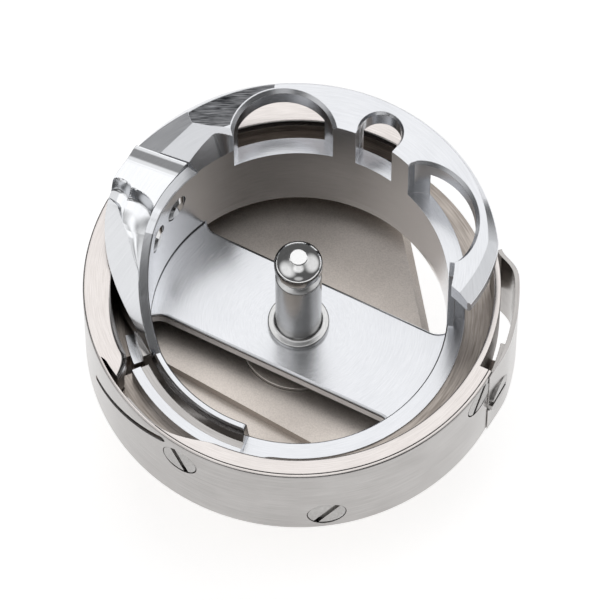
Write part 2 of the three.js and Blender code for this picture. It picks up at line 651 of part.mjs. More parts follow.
// ---- Centre stud ----
function centreStud() {
  const pinR = 1.6;
  const rivetedEnd = [[1.9, CUP_BOTTOM_Z - 0.6], [2.3, CUP_BOTTOM_Z - 0.1]];
  const collarBottom = BAR_TOP_Z - STUD_SEAT_DEPTH + FIT_GAP;
  const collarTop = BAR_TOP_Z + 0.6;
  const head = [[1.9, 21.5], [1.92, 22.4], [1.7, 22.95], [1.25, 23.35], [0.67, STUD_TOP_Z]];
  return turned([
    [0, CUP_BOTTOM_Z - 0.6],
    ...rivetedEnd,
    [pinR, CUP_BOTTOM_Z - 0.1],
    [pinR, collarBottom],
    [STUD_COLLAR_R, collarBottom],
    [STUD_COLLAR_R, collarTop - 0.06],
    [STUD_SHAFT_R, collarTop],
    [STUD_SHAFT_R, LIP_Z + 1.55],
    [STUD_GROOVE_R, LIP_Z + 1.7],
    [STUD_GROOVE_R, LIP_Z + 2],
    ...head,
    [0, STUD_TOP_Z],
  ], { closed: false, facets: SMALL_FACETS });
}

let basket = cupWall()
  .add(floorBar())
  .add(raceRib())
  .add(shoulder())
  .add(flange())
  .subtract(notches())
  .subtract(disc(1.6 + FIT_GAP, CUP_BOTTOM_Z - PROUD, BAR_TOP_Z + PROUD, SMALL_FACETS));
let finger = guideFinger();
for (const pin of RIVETS) {
  basket = basket.subtract(rivet(pin, FIT_GAP));
  finger = finger.subtract(rivet(pin, FIT_GAP));
}

add('hook_body', hookBody, STEEL);
add('hub', hub(), MATTE_STEEL);
SET_SCREW_ANGLES.forEach((angle, i) => add(`hub_set_screw_${i + 1}`, setScrew(angle), DARK_STEEL));
add('gib', gib(), STEEL);
for (const screw of [...GIB_SCREWS, GUARD_SCREW]) {
  add(screw.name, wallScrew(screw), DARK_STEEL);
}
add('needle_guard', needleGuard(), STEEL);
add('basket', basket, BRIGHT_STEEL);
add('guide_finger', finger, BRIGHT_STEEL);
for (const pin of RIVETS) {
  add(pin.name, rivet(pin), BRIGHT_STEEL);
}
add('centre_stud', centreStud(), BRIGHT_STEEL);

export default group;
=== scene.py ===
"""Looks of a sewing machine's rotary hook with its bobbin-case holder.

Shapes are made in millimetres about the hook axis, which is Z, and scaled to metres when a piece is
finished. Angles are in degrees, counterclockwise from +X as seen from above.
"""

import math

import bmesh
import bpy
import numpy as np
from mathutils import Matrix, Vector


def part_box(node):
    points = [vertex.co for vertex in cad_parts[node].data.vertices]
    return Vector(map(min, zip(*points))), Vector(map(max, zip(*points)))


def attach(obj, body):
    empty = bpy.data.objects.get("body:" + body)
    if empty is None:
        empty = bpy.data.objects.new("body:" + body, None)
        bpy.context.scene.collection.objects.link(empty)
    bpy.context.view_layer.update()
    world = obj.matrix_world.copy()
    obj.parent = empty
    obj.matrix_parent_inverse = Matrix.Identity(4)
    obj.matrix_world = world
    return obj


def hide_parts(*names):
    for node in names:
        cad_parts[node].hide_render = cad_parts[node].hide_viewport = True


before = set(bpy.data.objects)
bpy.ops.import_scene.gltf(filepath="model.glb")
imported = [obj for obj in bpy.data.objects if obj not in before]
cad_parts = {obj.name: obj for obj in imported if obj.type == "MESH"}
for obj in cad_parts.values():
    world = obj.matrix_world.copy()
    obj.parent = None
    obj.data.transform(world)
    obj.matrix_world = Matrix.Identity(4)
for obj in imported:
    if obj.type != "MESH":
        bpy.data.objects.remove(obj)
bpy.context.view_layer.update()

MM = 0.001


def box_mm(node):
    """Lowest and highest corner of a CAD node, in millimetres."""
    low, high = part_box(node)
    return low / MM, high / MM


# ---- Driving dimensions, from the frame ----
HOOK_LOW, HOOK_HIGH = box_mm("hook_body")
BASKET_LOW, BASKET_HIGH = box_mm("basket")
STUD_LOW, STUD_HIGH = box_mm("centre_stud")
HUB_HIGH = box_mm("hub")[1]
BODY_R = round(-HOOK_LOW.y, 2)
LIP_Z = round(HOOK_HIGH.z, 2)
FLOOR_BOTTOM_Z = round(HOOK_LOW.z, 2)
CUP_BOTTOM_Z = round(BASKET_LOW.z, 2)
FLANGE_TOP_Z = round(BASKET_HIGH.z, 2)
HUB_R = round(HUB_HIGH.x, 2)
HUB_TOP_Z = round(HUB_HIGH.z, 2)
STUD_TOP_Z = round(STUD_HIGH.z, 2)
STUD_BOTTOM_Z = round(STUD_LOW.z, 2)
GUARD_OUTER_R = round(box_mm("needle_guard")[1].x, 2)

# ---- Sizes that the frame's boxes don't give ----
TURN_STEP = 1.0  # degrees between the sides of a full turn
FIT_GAP = 0.03
PROUD = 0.5

BODY_BOTTOM_Z = FLOOR_BOTTOM_Z + 2.3
FLOOR_TOP_Z = FLOOR_BOTTOM_Z + 1.8
FLOOR_EDGE_R = BODY_R - 2.4
SHELL_INNER_R = BODY_R - 0.65
LIP_INNER_R = BODY_R - 0.3
LIP_DEPTH = 0.8
RACE_R = BODY_R - 1.2
RACE_LEDGE_Z = LIP_Z - 6.15
RACE_ROOF_Z = LIP_Z - 4.35
RACE_MOUTH_R = BODY_R - 1.6
BLADE_INNER_R = BODY_R - 2.25
BLADE_UNDERSIDE_Z = LIP_Z - 2
BLADE_START, BLADE_END = 58, 210
WALL_START, WALL_END = 203, -27
LOW_WALL_END = -13
LOW_WALL_TOP_Z = LIP_Z - 3
GIB_START = 228
GIB_TAIL_END = 9
GIB_TAIL_OUTER_R = RACE_MOUTH_R + 0.55

STUD_PIN_R = 1.6
HUB_SPIGOT_R = 4.65
HUB_BORE_R = 7.94 / 2
HUB_BORE_DEPTH = 8.3

CUP_INNER_R = 11.8
CUP_OUTER_R = 13.2
BAR_TOP_Z = CUP_BOTTOM_Z + 1
CUP_FOOT_Z = BAR_TOP_Z + 0.25
CUP_FOOT_R = CUP_INNER_R + 0.15
WINDOW_REACH = 12.55
BAR_ANGLE = -27.5
BAR_LEFT, BAR_RIGHT = 4.2, -4.35
RIB_R = RACE_R - 0.1
RIB_BOTTOM_Z = RACE_LEDGE_Z + 0.1
RIB_TOP_Z = RACE_ROOF_Z - 0.1
LOW_RIM_Z = LIP_Z - 4.3
RAISED_WALL_Z = LIP_Z - 2.4
LEFT_WALL_Z = LIP_Z + 2.4
LEFT_WALL_R = 12.5
RAISED_WALL_R = 12.35
RAISED_WALL_END = 250.8
WINDOW_CORNER_R = 1.4
FLANGE_R = BODY_R - 1.3
FLANGE_LEFT_R = BODY_R - 0.55
FLANGE_BOTTOM_Z = FLANGE_TOP_Z - 1.7
FLANGE_RIGHT_END, FLANGE_LEFT_END = -16.8, 146

# ---- Small maths ----


def smooth(low, high, value):
    """0 below low, 1 above high, and an S-shaped rise between them."""
    along = np.clip((np.asarray(value, float) - low) / (high - low), 0, 1)
    return along * along * (3 - 2 * along)


def linear(low, high, value):
    """0 below low, 1 above high, and a straight rise between them."""
    return np.clip((np.asarray(value, float) - low) / (high - low), 0, 1)


def fillet(before, corner, after, radius, steps=6):
    """Points that round a corner of a profile with a curve of about that radius."""
    before, corner, after = (np.array(p, float) for p in (before, corner, after))
    start = corner + (before - corner) / np.linalg.norm(before - corner) * radius
    end = corner + (after - corner) / np.linalg.norm(after - corner) * radius
    share = np.linspace(0, 1, steps + 1)[:, None]
    curve = (1 - share) ** 2 * start + 2 * share * (1 - share) * corner + share ** 2 * end
    return [tuple(p) for p in curve]


def rounded(corners):
    """A closed profile from (radius, height, fillet) corners; a fillet of 0 keeps the corner."""
    points = []
    for i, (x, y, radius) in enumerate(corners):
        before, after = corners[i - 1][:2], corners[(i + 1) % len(corners)][:2]
        points += fillet(before, (x, y), after, radius) if radius else [(x, y)]
    return points


# ---- Solids ----


def mesh_object(name, vertices, faces):
    """A mesh object, with its faces turned outwards."""
    mesh = bpy.data.meshes.new(name)
    mesh.from_pydata([tuple(v) for v in vertices], [], faces)
    mesh.validate()
    mesh.update()
    piece = bpy.data.objects.new(name, mesh)
    bpy.context.scene.collection.objects.link(piece)
    return piece


def turned(profile, closed=True, step=TURN_STEP, shape=None, span=None):
    """A profile of (radius, height) points, counterclockwise, revolved about Z.

    shape(radii, heights, degrees) may return new radii and heights for the points at one angle.
    span is the (first, last) angle of a part turn, which is closed with a face at each end.
    """
    first, last = span or (0, 360)
    count = round((last - first) / step)
    radii = np.array([p[0] for p in profile], float)
    heights = np.array([p[1] for p in profile], float)
    size = len(profile)
    vertices = []
    sections = count + 1 if span else count
    for i in range(sections):
        angle = first + i * (last - first) / count
        r, z = shape(radii, heights, angle) if shape else (radii, heights)
        a = math.radians(angle)
        vertices.append(np.stack([r * math.cos(a), r * math.sin(a), z], axis=1))
    vertices = np.concatenate(vertices)
    faces = []
    links = size if closed else size - 1
    for i in range(count):
        here, there = i * size, ((i + 1) % sections) * size
        for j in range(links):
            k = (j + 1) % size
            faces.append((here + j, there + j, there + k, here + k))
    if span:
        faces += [tuple(reversed(range(size))), tuple(range(count * size, (count + 1) * size))]
    piece = mesh_object("turned", vertices, faces)
    return clean(piece)


def disc(radius, bottom, top, step=TURN_STEP):
    return turned([(0, bottom), (radius, bottom), (radius, top), (0, top)], closed=False, step=step)


def ring(inner_r, outer_r, bottom, top):
    return turned([(inner_r, bottom), (outer_r, bottom), (outer_r, top), (inner_r, top)])


def stacked(layers):
    """An upright solid through (plan outline, height) layers, counterclockwise and from the bottom up."""
    size = len(layers[0][0])
    vertices = [(x, y, z) for outline, z in layers for x, y in outline]
    faces = [tuple(reversed(range(size))), tuple(range(len(vertices) - size, len(vertices)))]
    for level in range(len(layers) - 1):
        here, there = level * size, (level + 1) * size
        faces += [(here + i, here + (i + 1) % size, there + (i + 1) % size, there + i) for i in range(size)]
    return mesh_object("stacked", vertices, faces)


def prism(outline, bottom, top, top_outline=None):
    """An upright solid on a plan outline; the top may have its own outline."""
    return stacked([(outline, bottom), (top_outline or outline, top)])


def block(size_x, size_y, size_z):
    x, y = size_x / 2, size_y / 2
    return prism([(-x, -y), (x, -y), (x, y), (-x, y)], -size_z / 2, size_z / 2)


def arc(radius, start, end, step=1.0):
    """Plan points along an arc; the radius is a number or a function of the angle."""
    count = max(2, round(abs(end - start) / step))
    points = []
    for angle in np.linspace(start, end, count + 1):
        r = radius(angle) if callable(radius) else radius
        points.append((float(r) * math.cos(math.radians(angle)), float(r) * math.sin(math.radians(angle))))
    return points


def band(inner, outer, start, end, step=1.0):
    return arc(outer, start, end, step) + arc(inner, start, end, step)[::-1]


def wedge(start, end):
    return prism([(0, 0)] + arc(30, start, end, 10), -1, 30)


def circle(x, y, radius, steps=72):
    angles = [2 * math.pi * i / steps for i in range(steps)]
    return [(x + radius * math.cos(a), y + radius * math.sin(a)) for a in angles]


def clean(piece, distance=1e-4):
    """Merges points that coincide and removes faces with no area."""
    mesh = bmesh.new()
    mesh.from_mesh(piece.data)
    bmesh.ops.remove_doubles(mesh, verts=mesh.verts, dist=distance)
    bmesh.ops.dissolve_degenerate(mesh, edges=mesh.edges, dist=distance / 10)
    bmesh.ops.recalc_face_normals(mesh, faces=mesh.faces)
    mesh.to_mesh(piece.data)
    mesh.free()
    return piece


def combine(base, other, operation):
    """Joins, cuts or intersects base with other, which is used up."""
    clean(other)
    modifier = base.modifiers.new("combine", "BOOLEAN")
    modifier.operation = operation
    modifier.solver = "MANIFOLD"
    modifier.object = other
    bpy.context.view_layer.update()
    evaluated = base.evaluated_get(bpy.context.evaluated_depsgraph_get())
    result = bpy.data.meshes.new_from_object(evaluated)
    base.modifiers.remove(modifier)
    base.data = result
    bpy.data.objects.remove(other)
    return base


def join(base, *others):
    for other in others:
        combine(base, other, "UNION")
    return base


def cut(base, *others):
    for other in others:
        combine(base, other, "DIFFERENCE")
    return base


def keep(base, other):
    return combine(base, other, "INTERSECT")


def rotated(piece, about, degrees):
    """Turns a piece's mesh about a coordinate axis, 0, 1 or 2."""
    a = math.radians(degrees)
    first, second = [(1, 2), (2, 0), (0, 1)][about]
    points = np.array([v.co for v in piece.data.vertices], float)
    turned_points = points.copy()
    turned_points[:, first] = points[:, first] * math.cos(a) - points[:, second] * math.sin(a)
    turned_points[:, second] = points[:, first] * math.sin(a) + points[:, second] * math.cos(a)
    piece.data.vertices.foreach_set("co", turned_points.ravel())
    piece.data.update()
    return piece


def moved(piece, x, y, z):
    points = np.array([v.co for v in piece.data.vertices], float) + (x, y, z)
    piece.data.vertices.foreach_set("co", points.ravel())
    piece.data.update()
    return piece


def radial(piece, radius, degrees, height):
    """Turns a piece made about Z so that its axis is radial and +Z points outwards."""
    return rotated(moved(rotated(piece, 1, 90), radius, 0, height), 2, degrees)


# ---- Materials ----


class Nodes:
    """A small helper for building a node tree."""

    def __init__(self, tree):
        self.tree = tree

    def add(self, kind, inputs=None, **settings):
        node = self.tree.nodes.new(kind)
        for key, value in settings.items():
            setattr(node, key, value)
        for key, value in (inputs or {}).items():
            socket = node.inputs[key]
            if isinstance(value, bpy.types.NodeSocket):
                self.tree.links.new(value, socket)
            else:
                socket.default_value = value
        return node

    def math(self, operation, *values):
        inputs = dict(enumerate(values))
        return self.add("ShaderNodeMath", inputs, operation=operation).outputs[0]

    def ramp(self, value, stops):
        node = self.add("ShaderNodeValToRGB", {"Fac": value})
        for i, (place, colour) in enumerate(stops):
            if i < 2:
                node.color_ramp.elements[i].position = place
            else:
                node.color_ramp.elements.new(place)
            node.color_ramp.elements[i].color = (*colour, 1)
        return node.outputs[0]

    def mix(self, factor, first, second):
        node = self.add("ShaderNodeMix", data_type="RGBA")
        for key, value in ((0, factor), (6, first), (7, second)):
            if isinstance(value, bpy.types.NodeSocket):
                self.tree.links.new(value, node.inputs[key])
            else:
                node.inputs[key].default_value = value if key == 0 else (*value, 1)
        return node.outputs[2]


def axial_streaks(nodes, across, along):
    """Noise drawn out round the Z axis, as a lathe or a polishing wheel leaves it."""
    position = nodes.add("ShaderNodeTexCoord").outputs["Object"]
    parts = nodes.add("ShaderNodeSeparateXYZ", {0: position}).outputs
    radius = nodes.math("SQRT", nodes.math(
        "ADD", nodes.math("MULTIPLY", parts[0], parts[0]), nodes.math("MULTIPLY", parts[1], parts[1]),
    ))
    safe = nodes.math("MAXIMUM", radius, 1e-4)
    level = nodes.math("MULTIPLY", nodes.math("ADD", radius, parts[2]), across)
    vector = nodes.add("ShaderNodeCombineXYZ", {
        0: nodes.math("MULTIPLY", nodes.math("DIVIDE", parts[0], safe), along),
        1: nodes.math("MULTIPLY", nodes.math("DIVIDE", parts[1], safe), along),
        2: level,
    }).outputs[0]
    return nodes.add("ShaderNodeTexNoise", {"Vector": vector, "Scale": 1.0, "Detail": 4.0}).outputs["Fac"]


def straight_streaks(nodes, direction, across, along):
    """Noise drawn out along one direction in plan, as a grinding wheel leaves it."""
    position = nodes.add("ShaderNodeTexCoord").outputs["Object"]
    mapping = nodes.add("ShaderNodeMapping", {
        "Vector": position, "Rotation": (0, 0, math.radians(direction)), "Scale": (along, across, across),
    }).outputs[0]
    return nodes.add("ShaderNodeTexNoise", {"Vector": mapping, "Scale": 1.0, "Detail": 5.0}).outputs["Fac"]


def grain(nodes, scale, detail=6.0):
    position = nodes.add("ShaderNodeTexCoord").outputs["Object"]
    noise = nodes.add("ShaderNodeTexNoise", {"Vector": position, "Scale": scale, "Detail": detail})
    return noise.outputs["Fac"]


def brighter_edges(nodes, rounded_normal):
    """0 on flats and 1 along edges, concave and convex alike, where the metal's colour is made brighter."""
    normal = nodes.add("ShaderNodeNewGeometry").outputs["Normal"]
    same = nodes.add("ShaderNodeVectorMath", {0: normal, 1: rounded_normal}, operation="DOT_PRODUCT")
    return nodes.ramp(same.outputs["Value"], [(0.9, (1, 1, 1)), (0.99, (0, 0, 0))])


def metal(name, light, dark, roughness, streaks, fine_bump, edge_radius=0.05, painted_grazing_highlight=None):
    """A worked metal: two tones of steel, streaked roughness, fine relief and softened edges.

    An optional colour is mixed in by viewing angle where a surface is seen nearly edge-on: a painted
    highlight.
    """
    material = bpy.data.materials.new(name)
    material.use_nodes = True
    tree = material.node_tree
    tree.nodes.clear()
    nodes = Nodes(tree)
    pattern = streaks(nodes)
    clouds = grain(nodes, 260.0, 3.0)
    tone = nodes.math("ADD", nodes.math("MULTIPLY", pattern, 0.6), nodes.math("MULTIPLY", clouds, 0.4))
    worked = nodes.ramp(tone, [(0.35, dark), (0.65, light)])
    if painted_grazing_highlight:
        # Painted highlight: towards edge-on views the colour turns to the bright grazing colour.
        facing = nodes.add("ShaderNodeLayerWeight", {"Blend": 0.5}).outputs["Facing"]
        worked = nodes.mix(nodes.ramp(facing, [(0.55, (0, 0, 0)), (0.85, (1, 1, 1))]), worked, painted_grazing_highlight)
    bright = tuple(min(1, c * 1.25) for c in light)
    corner = nodes.add("ShaderNodeBevel", {"Radius": edge_radius * MM}, samples=4)
    # A brighter colour along every edge, concave and convex.
    colour = nodes.mix(brighter_edges(nodes, corner.outputs[0]), worked, bright)
    low, high = roughness
    rough = nodes.math("ADD", low, nodes.math("MULTIPLY", tone, high - low))
    bump = nodes.add("ShaderNodeBump", {
        "Height": pattern, "Strength": 1.0, "Distance": fine_bump * MM, "Normal": corner.outputs[0],
    })
    shader = nodes.add("ShaderNodeBsdfPrincipled", {
        "Base Color": colour, "Roughness": rough, "Metallic": 1.0, "Normal": bump.outputs[0],
    })
    nodes.add("ShaderNodeOutputMaterial", {"Surface": shader.outputs[0]})
    return material


MATERIALS = {
    "polished": metal(
        "hook_polished", (0.46, 0.445, 0.435), (0.36, 0.345, 0.335), (0.14, 0.26),
        lambda nodes: axial_streaks(nodes, 9000.0, 5.0), 0.0012,
    ),
    "ground": metal(
        "ring_ground", (0.73, 0.69, 0.67), (0.60, 0.56, 0.54), (0.16, 0.32),
        lambda nodes: axial_streaks(nodes, 14000.0, 9.0), 0.0015,
    ),
    "satin": metal(
        "holder_satin", (0.70, 0.71, 0.735), (0.62, 0.63, 0.655), (0.15, 0.30),
        lambda nodes: axial_streaks(nodes, 11000.0, 7.0), 0.0012,
    ),
    # Inner cup wall: a darker copy of the satin, which is painted shade, and a painted highlight where it is
    # seen nearly edge-on.
    "bore": metal(
        "holder_bore_painted_shade", (0.34, 0.34, 0.345), (0.27, 0.27, 0.275), (0.15, 0.30),
        lambda nodes: axial_streaks(nodes, 11000.0, 7.0), 0.0012, painted_grazing_highlight=(0.96, 0.97, 1.0),
    ),
    "chrome": metal(
        "finger_chrome", (0.77, 0.78, 0.80), (0.72, 0.73, 0.75), (0.08, 0.17),
        lambda nodes: axial_streaks(nodes, 7000.0, 5.0), 0.0008,
    ),
    "brushed": metal(
        "flange_brushed", (0.33, 0.335, 0.35), (0.01, 0.011, 0.013), (0.2, 0.45),
        lambda nodes: straight_streaks(nodes, 8, 11000.0, 900.0), 0.006,
    ),
    "blasted": metal(
        "floor_blasted", (0.86, 0.79, 0.73), (0.66, 0.60, 0.55), (0.34, 0.5),
        lambda nodes: grain(nodes, 9000.0, 8.0), 0.010,
    ),
    "screw": metal(
        "screw_steel", (0.46, 0.45, 0.44), (0.32, 0.31, 0.30), (0.2, 0.38),
        lambda nodes: grain(nodes, 5000.0), 0.002,
    ),
    "mirror": metal(
        "stud_mirror", (0.76, 0.76, 0.76), (0.68, 0.68, 0.68), (0.04, 0.12),
        lambda nodes: axial_streaks(nodes, 8000.0, 4.0), 0.0004,
    ),
    "shaft": metal(
        "stud_satin", (0.66, 0.66, 0.66), (0.52, 0.52, 0.52), (0.16, 0.30),
        lambda nodes: axial_streaks(nodes, 9000.0, 4.0), 0.0012,
    ),
    # Darker brown metal for faces in the race: painted shade.
    "dark": metal(
        "race_painted_shade", (0.50, 0.45, 0.41), (0.20, 0.175, 0.155), (0.22, 0.40),
        lambda nodes: axial_streaks(nodes, 9000.0, 6.0), 0.001,
    ),
}


SHARP_ANGLE = 17  # degrees between faces that meet in a visible edge


def finish_piece(piece, name, body, nodes, rules, default):
    """Names a piece, gives each face its material, and puts it in the frame.

    rules are (material, test) pairs; test(centre, normal, radius) picks the faces, and a later rule
    wins over an earlier one.
    """
    clean(piece)
    piece.name = name
    mesh = piece.data
    mesh.name = name
    used = [default] + [material for material, test in rules]
    mesh.materials.clear()
    for key in used:
        mesh.materials.append(MATERIALS[key])
    for face in mesh.polygons:
        centre, normal = face.center, face.normal
        corners = [mesh.vertices[i].co for i in face.vertices]
        radius = sum(math.hypot(corner.x, corner.y) for corner in corners) / len(corners)
        face.material_index = 0
        for i, (material, test) in enumerate(rules):
            if test(centre, normal, radius):
                face.material_index = i + 1
    points = np.array([v.co for v in mesh.vertices], float) * MM
    mesh.vertices.foreach_set("co", points.ravel())
    mesh.shade_smooth()
    mesh.set_sharp_from_angle(angle=math.radians(SHARP_ANGLE))
    mesh.update()
    normals = piece.modifiers.new("even_normals", "WEIGHTED_NORMAL")
    normals.mode = "FACE_AREA"
    normals.keep_sharp = True
    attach(piece, body)
    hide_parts(*nodes)
    return piece


# ---- Screws in the wall ----
SCREW_HEAD_R = 1.5
SCREW_SHANK_R = 0.85
HEAD_DEPTH = 0.5
SHANK_DEPTH = 1.1
WALL_SCREWS = {
    "gib_screw_1": dict(angle=-123.2, height=LIP_Z - 2.5, head=BODY_R - 0.02, turn=25),
    "gib_screw_2": dict(angle=-82.5, height=LIP_Z - 6.6, head=BODY_R - 0.02, turn=-35),
    "gib_screw_3": dict(angle=-33.5, height=LIP_Z - 1.6, head=BODY_R - 0.02, turn=-30),
    "guard_screw": dict(angle=-24, height=LIP_Z - 5, head=GUARD_OUTER_R - 0.02, turn=70),
}


def wall_screw(angle, height, head, turn):
    """A slotted screw set in the wall; turn is the direction of its slot."""
    rim = 0.05
    body = turned([
        (0, -SHANK_DEPTH), (SCREW_SHANK_R, -SHANK_DEPTH), (SCREW_SHANK_R, -HEAD_DEPTH),
        (SCREW_HEAD_R, -HEAD_DEPTH), (SCREW_HEAD_R, -rim), (SCREW_HEAD_R - rim, 0), (0, 0),
    ], closed=False, step=5)
    slot = rotated(block(SCREW_HEAD_R * 3, 0.5, 0.7), 2, turn)
    return radial(cut(body, slot), head, angle, height)


def screw_hole(angle, height, head, turn):
    """The hole for a wall screw, which shows as a fine dark line round the head."""
    gap = 0.075
    head_hole = disc(SCREW_HEAD_R + gap, -HEAD_DEPTH - FIT_GAP, PROUD, 5)
    shank_hole = disc(SCREW_SHANK_R + gap, -SHANK_DEPTH - FIT_GAP, 0, 5)
    return radial(join(head_hole, shank_hole), head, angle, height - gap)


# ---- Hook body ----
THREAD_SLIT = dict(start=204, end=231, low=LIP_Z - 4.1, high=LIP_Z - 0.8, width=0.7)
GIB_TAB = dict(start=-92, end=-73, bottom=RACE_LEDGE_Z - 2.15)
FLOOR_CHORD = [(8.6, 11.5), (10.9, -1.5)]
FLOOR_STEP = dict(offset=7.35, angle=-31.6, depth=0.9)


def front_wall():
    """Floor and outer wall with its rounded lip."""
    step_r = 13.4
    return turned(rounded([
        (HUB_SPIGOT_R + FIT_GAP, FLOOR_BOTTOM_Z, 0),
        (FLOOR_EDGE_R, FLOOR_BOTTOM_Z, 0.4),
        (BODY_R, BODY_BOTTOM_Z, 0.25),
        (BODY_R, LIP_Z, 0.22),
        (LIP_INNER_R, LIP_Z, 0.05),
        (LIP_INNER_R, LIP_Z - LIP_DEPTH, 0),
        (SHELL_INNER_R, LIP_Z - LIP_DEPTH, 0),
        (SHELL_INNER_R, RACE_LEDGE_Z, 0),
        (FLOOR_EDGE_R, RACE_LEDGE_Z, 0.15),
        (FLOOR_EDGE_R, FLOOR_TOP_Z + 0.5, 0.2),
        (step_r, FLOOR_TOP_Z, 0.3),
        (HUB_SPIGOT_R + FIT_GAP, FLOOR_TOP_Z, 0),
    ]))


def hook_blade():
    """The blade with the hook point, which roofs the race from the back right round to the left."""
    outer, edge = BODY_R - 0.06, 0.15
    point_start, narrowing, widest_bevel = 203, 1.5, 0.38

    def shape(radii, heights, degrees):
        """The point narrows from both sides, and its inner edge is bevelled ever wider."""
        narrow = narrowing * linear(point_start, BLADE_END, degrees) ** 2
        bevel = widest_bevel * float(smooth(176, 200, degrees))
        bevel *= 1 - 0.5 * float(linear(point_start - 1, BLADE_END, degrees))
        on_edge = (radii < BLADE_INNER_R + edge + 0.01) & (heights > LIP_Z - edge - 0.01)
        up = np.clip((heights - LIP_Z + edge) / edge, 0, 1)
        new_radii = np.where(on_edge, radii + narrow + bevel * up, np.maximum(radii, BLADE_INNER_R + narrow))
        new_heights = np.where(on_edge, heights - 1.1 * bevel * (1 - up), heights)
        outer_r = BODY_R + 0.1
        outer_r = outer_r - 0.6 * smooth(200, 204.5, degrees) - 0.15 * linear(204, BLADE_END, degrees)
        return np.minimum(new_radii, outer_r), new_heights
    section = turned(rounded([
        (RACE_R, RACE_LEDGE_Z - 0.1, 0),
        (outer, RACE_LEDGE_Z - 0.1, 0),
        (outer, LIP_Z, 0.12),
        (BLADE_INNER_R, LIP_Z, edge),
        (BLADE_INNER_R, LIP_Z - 0.8, 0.08),
        (BLADE_INNER_R + 0.18, LIP_Z - 0.9, 0.05),
        (BLADE_INNER_R + 0.18, BLADE_UNDERSIDE_Z, 0),
        (RACE_MOUTH_R, BLADE_UNDERSIDE_Z, 0),
        (RACE_MOUTH_R, RACE_ROOF_Z, 0),
        (RACE_R, RACE_ROOF_Z, 0),
    ]), step=0.5, shape=shape)
    return keep(section, wedge(BLADE_START, BLADE_END))


def thread_slit():
    """An oblique slit at the left of the wall, with a round end."""
    slit = THREAD_SLIT
    half = slit["width"] / 2

    def shape(radii, heights, degrees):
        along = (degrees - slit["start"]) / (slit["end"] - slit["start"])
        return radii, heights + slit["low"] + (slit["high"] - slit["low"]) * along
    within, beyond, flare = BODY_R - 2, BODY_R + 1, 0.5
    section = [
        (within, -half), (BODY_R - 0.12, -half), (beyond, -half - flare), (beyond, half), (within, half),
    ]
    groove = keep(turned(section, shape=shape), wedge(slit["start"] - 4, slit["end"]))
    end = radial(disc(half, -3, 1, 15), BODY_R, slit["end"], slit["high"])
    return join(groove, end)


def left_gap():
    """Opening between the hook point and the start of the front wall, whose edge is feathered."""
    feathered_r, thinning, inner = 16.74, 0.39, 15

    def outer(angle):
        return feathered_r - thinning * smooth(WALL_START + 9, WALL_START + 14, angle)
    return prism(band(inner, outer, WALL_START - 1, GIB_START), RACE_LEDGE_Z, LIP_Z + PROUD)


def right_openings():
    """The floor ends at a chamfered chord, and the wall is lower and then open on the right."""
    reach = 20
    bottom, top = FLOOR_BOTTOM_Z - PROUD, LIP_Z + PROUD
    (back_x, back_y), (front_x, front_y) = FLOOR_CHORD
    chamfer_x, chamfer_z = 0.6, 0.22

    def past_chord(grow):
        return [(front_x - grow, front_y), (reach, front_y), (reach, back_y), (back_x - grow, back_y)]
    beyond_chord = prism(past_chord(0), bottom, top)
    chamfer = prism(past_chord(0), FLOOR_TOP_Z - chamfer_z, FLOOR_TOP_Z + 0.01, past_chord(chamfer_x))
    wall_gap = prism(band(FLOOR_EDGE_R - PROUD, reach, WALL_END, BLADE_START), LOW_WALL_TOP_Z, top)
    low_gap = prism(band(FLOOR_EDGE_R - 0.6, reach, LOW_WALL_END, BLADE_START), bottom, top)
    return [beyond_chord, chamfer, wall_gap, low_gap]


def floor_step():
    """The front of the floor lies lower, along a straight edge."""
    far = 20
    offset = FLOOR_STEP["offset"]
    lower = prism([(-far, -far), (far, -far), (far, -offset), (-far, -offset)],
                  FLOOR_TOP_Z - FLOOR_STEP["depth"], RACE_LEDGE_Z)
    lower = rotated(lower, 2, FLOOR_STEP["angle"])
    return keep(lower, disc(FLOOR_EDGE_R - 0.1, FLOOR_BOTTOM_Z, RACE_LEDGE_Z))


def gib_tab_pocket():
    outline = band(RACE_R - FIT_GAP, SHELL_INNER_R, GIB_TAB["start"] - FIT_GAP, GIB_TAB["end"] + FIT_GAP)
    return prism(outline, GIB_TAB["bottom"] - FIT_GAP, RACE_LEDGE_Z + 0.2)


def make_hook_body():
    """The body is blasted inside, has painted shade in the race, and is ground on its rim."""
    body = cut(front_wall(), left_gap())
    body = join(body, hook_blade())
    body = cut(body, thread_slit(), *right_openings(), floor_step(), gib_tab_pocket())
    body = cut(body, *[screw_hole(**screw) for screw in WALL_SCREWS.values()])
    rules = [
        ("blasted", lambda c, n, r: c.z < RACE_LEDGE_Z - 0.2 and r < FLOOR_EDGE_R + 0.2),
        # Painted shade: faces in the race take the darker race metal.
        ("dark", lambda c, n, r: c.z > RACE_LEDGE_Z - 0.2 and r < RACE_R + 0.7 and c.z < LIP_Z - 0.95),
        ("ground", lambda c, n, r: n.z > 0.9 and c.z > LIP_Z - 0.1),
    ]
    return finish_piece(body, "visual_hook_body", "hook", ["hook_body"], rules, "polished")


# ---- Hub and set screws ----
SET_SCREW_R = 1.9
SET_SCREW_Z = 3.6
SET_SCREW_ANGLES = [-60, 40]


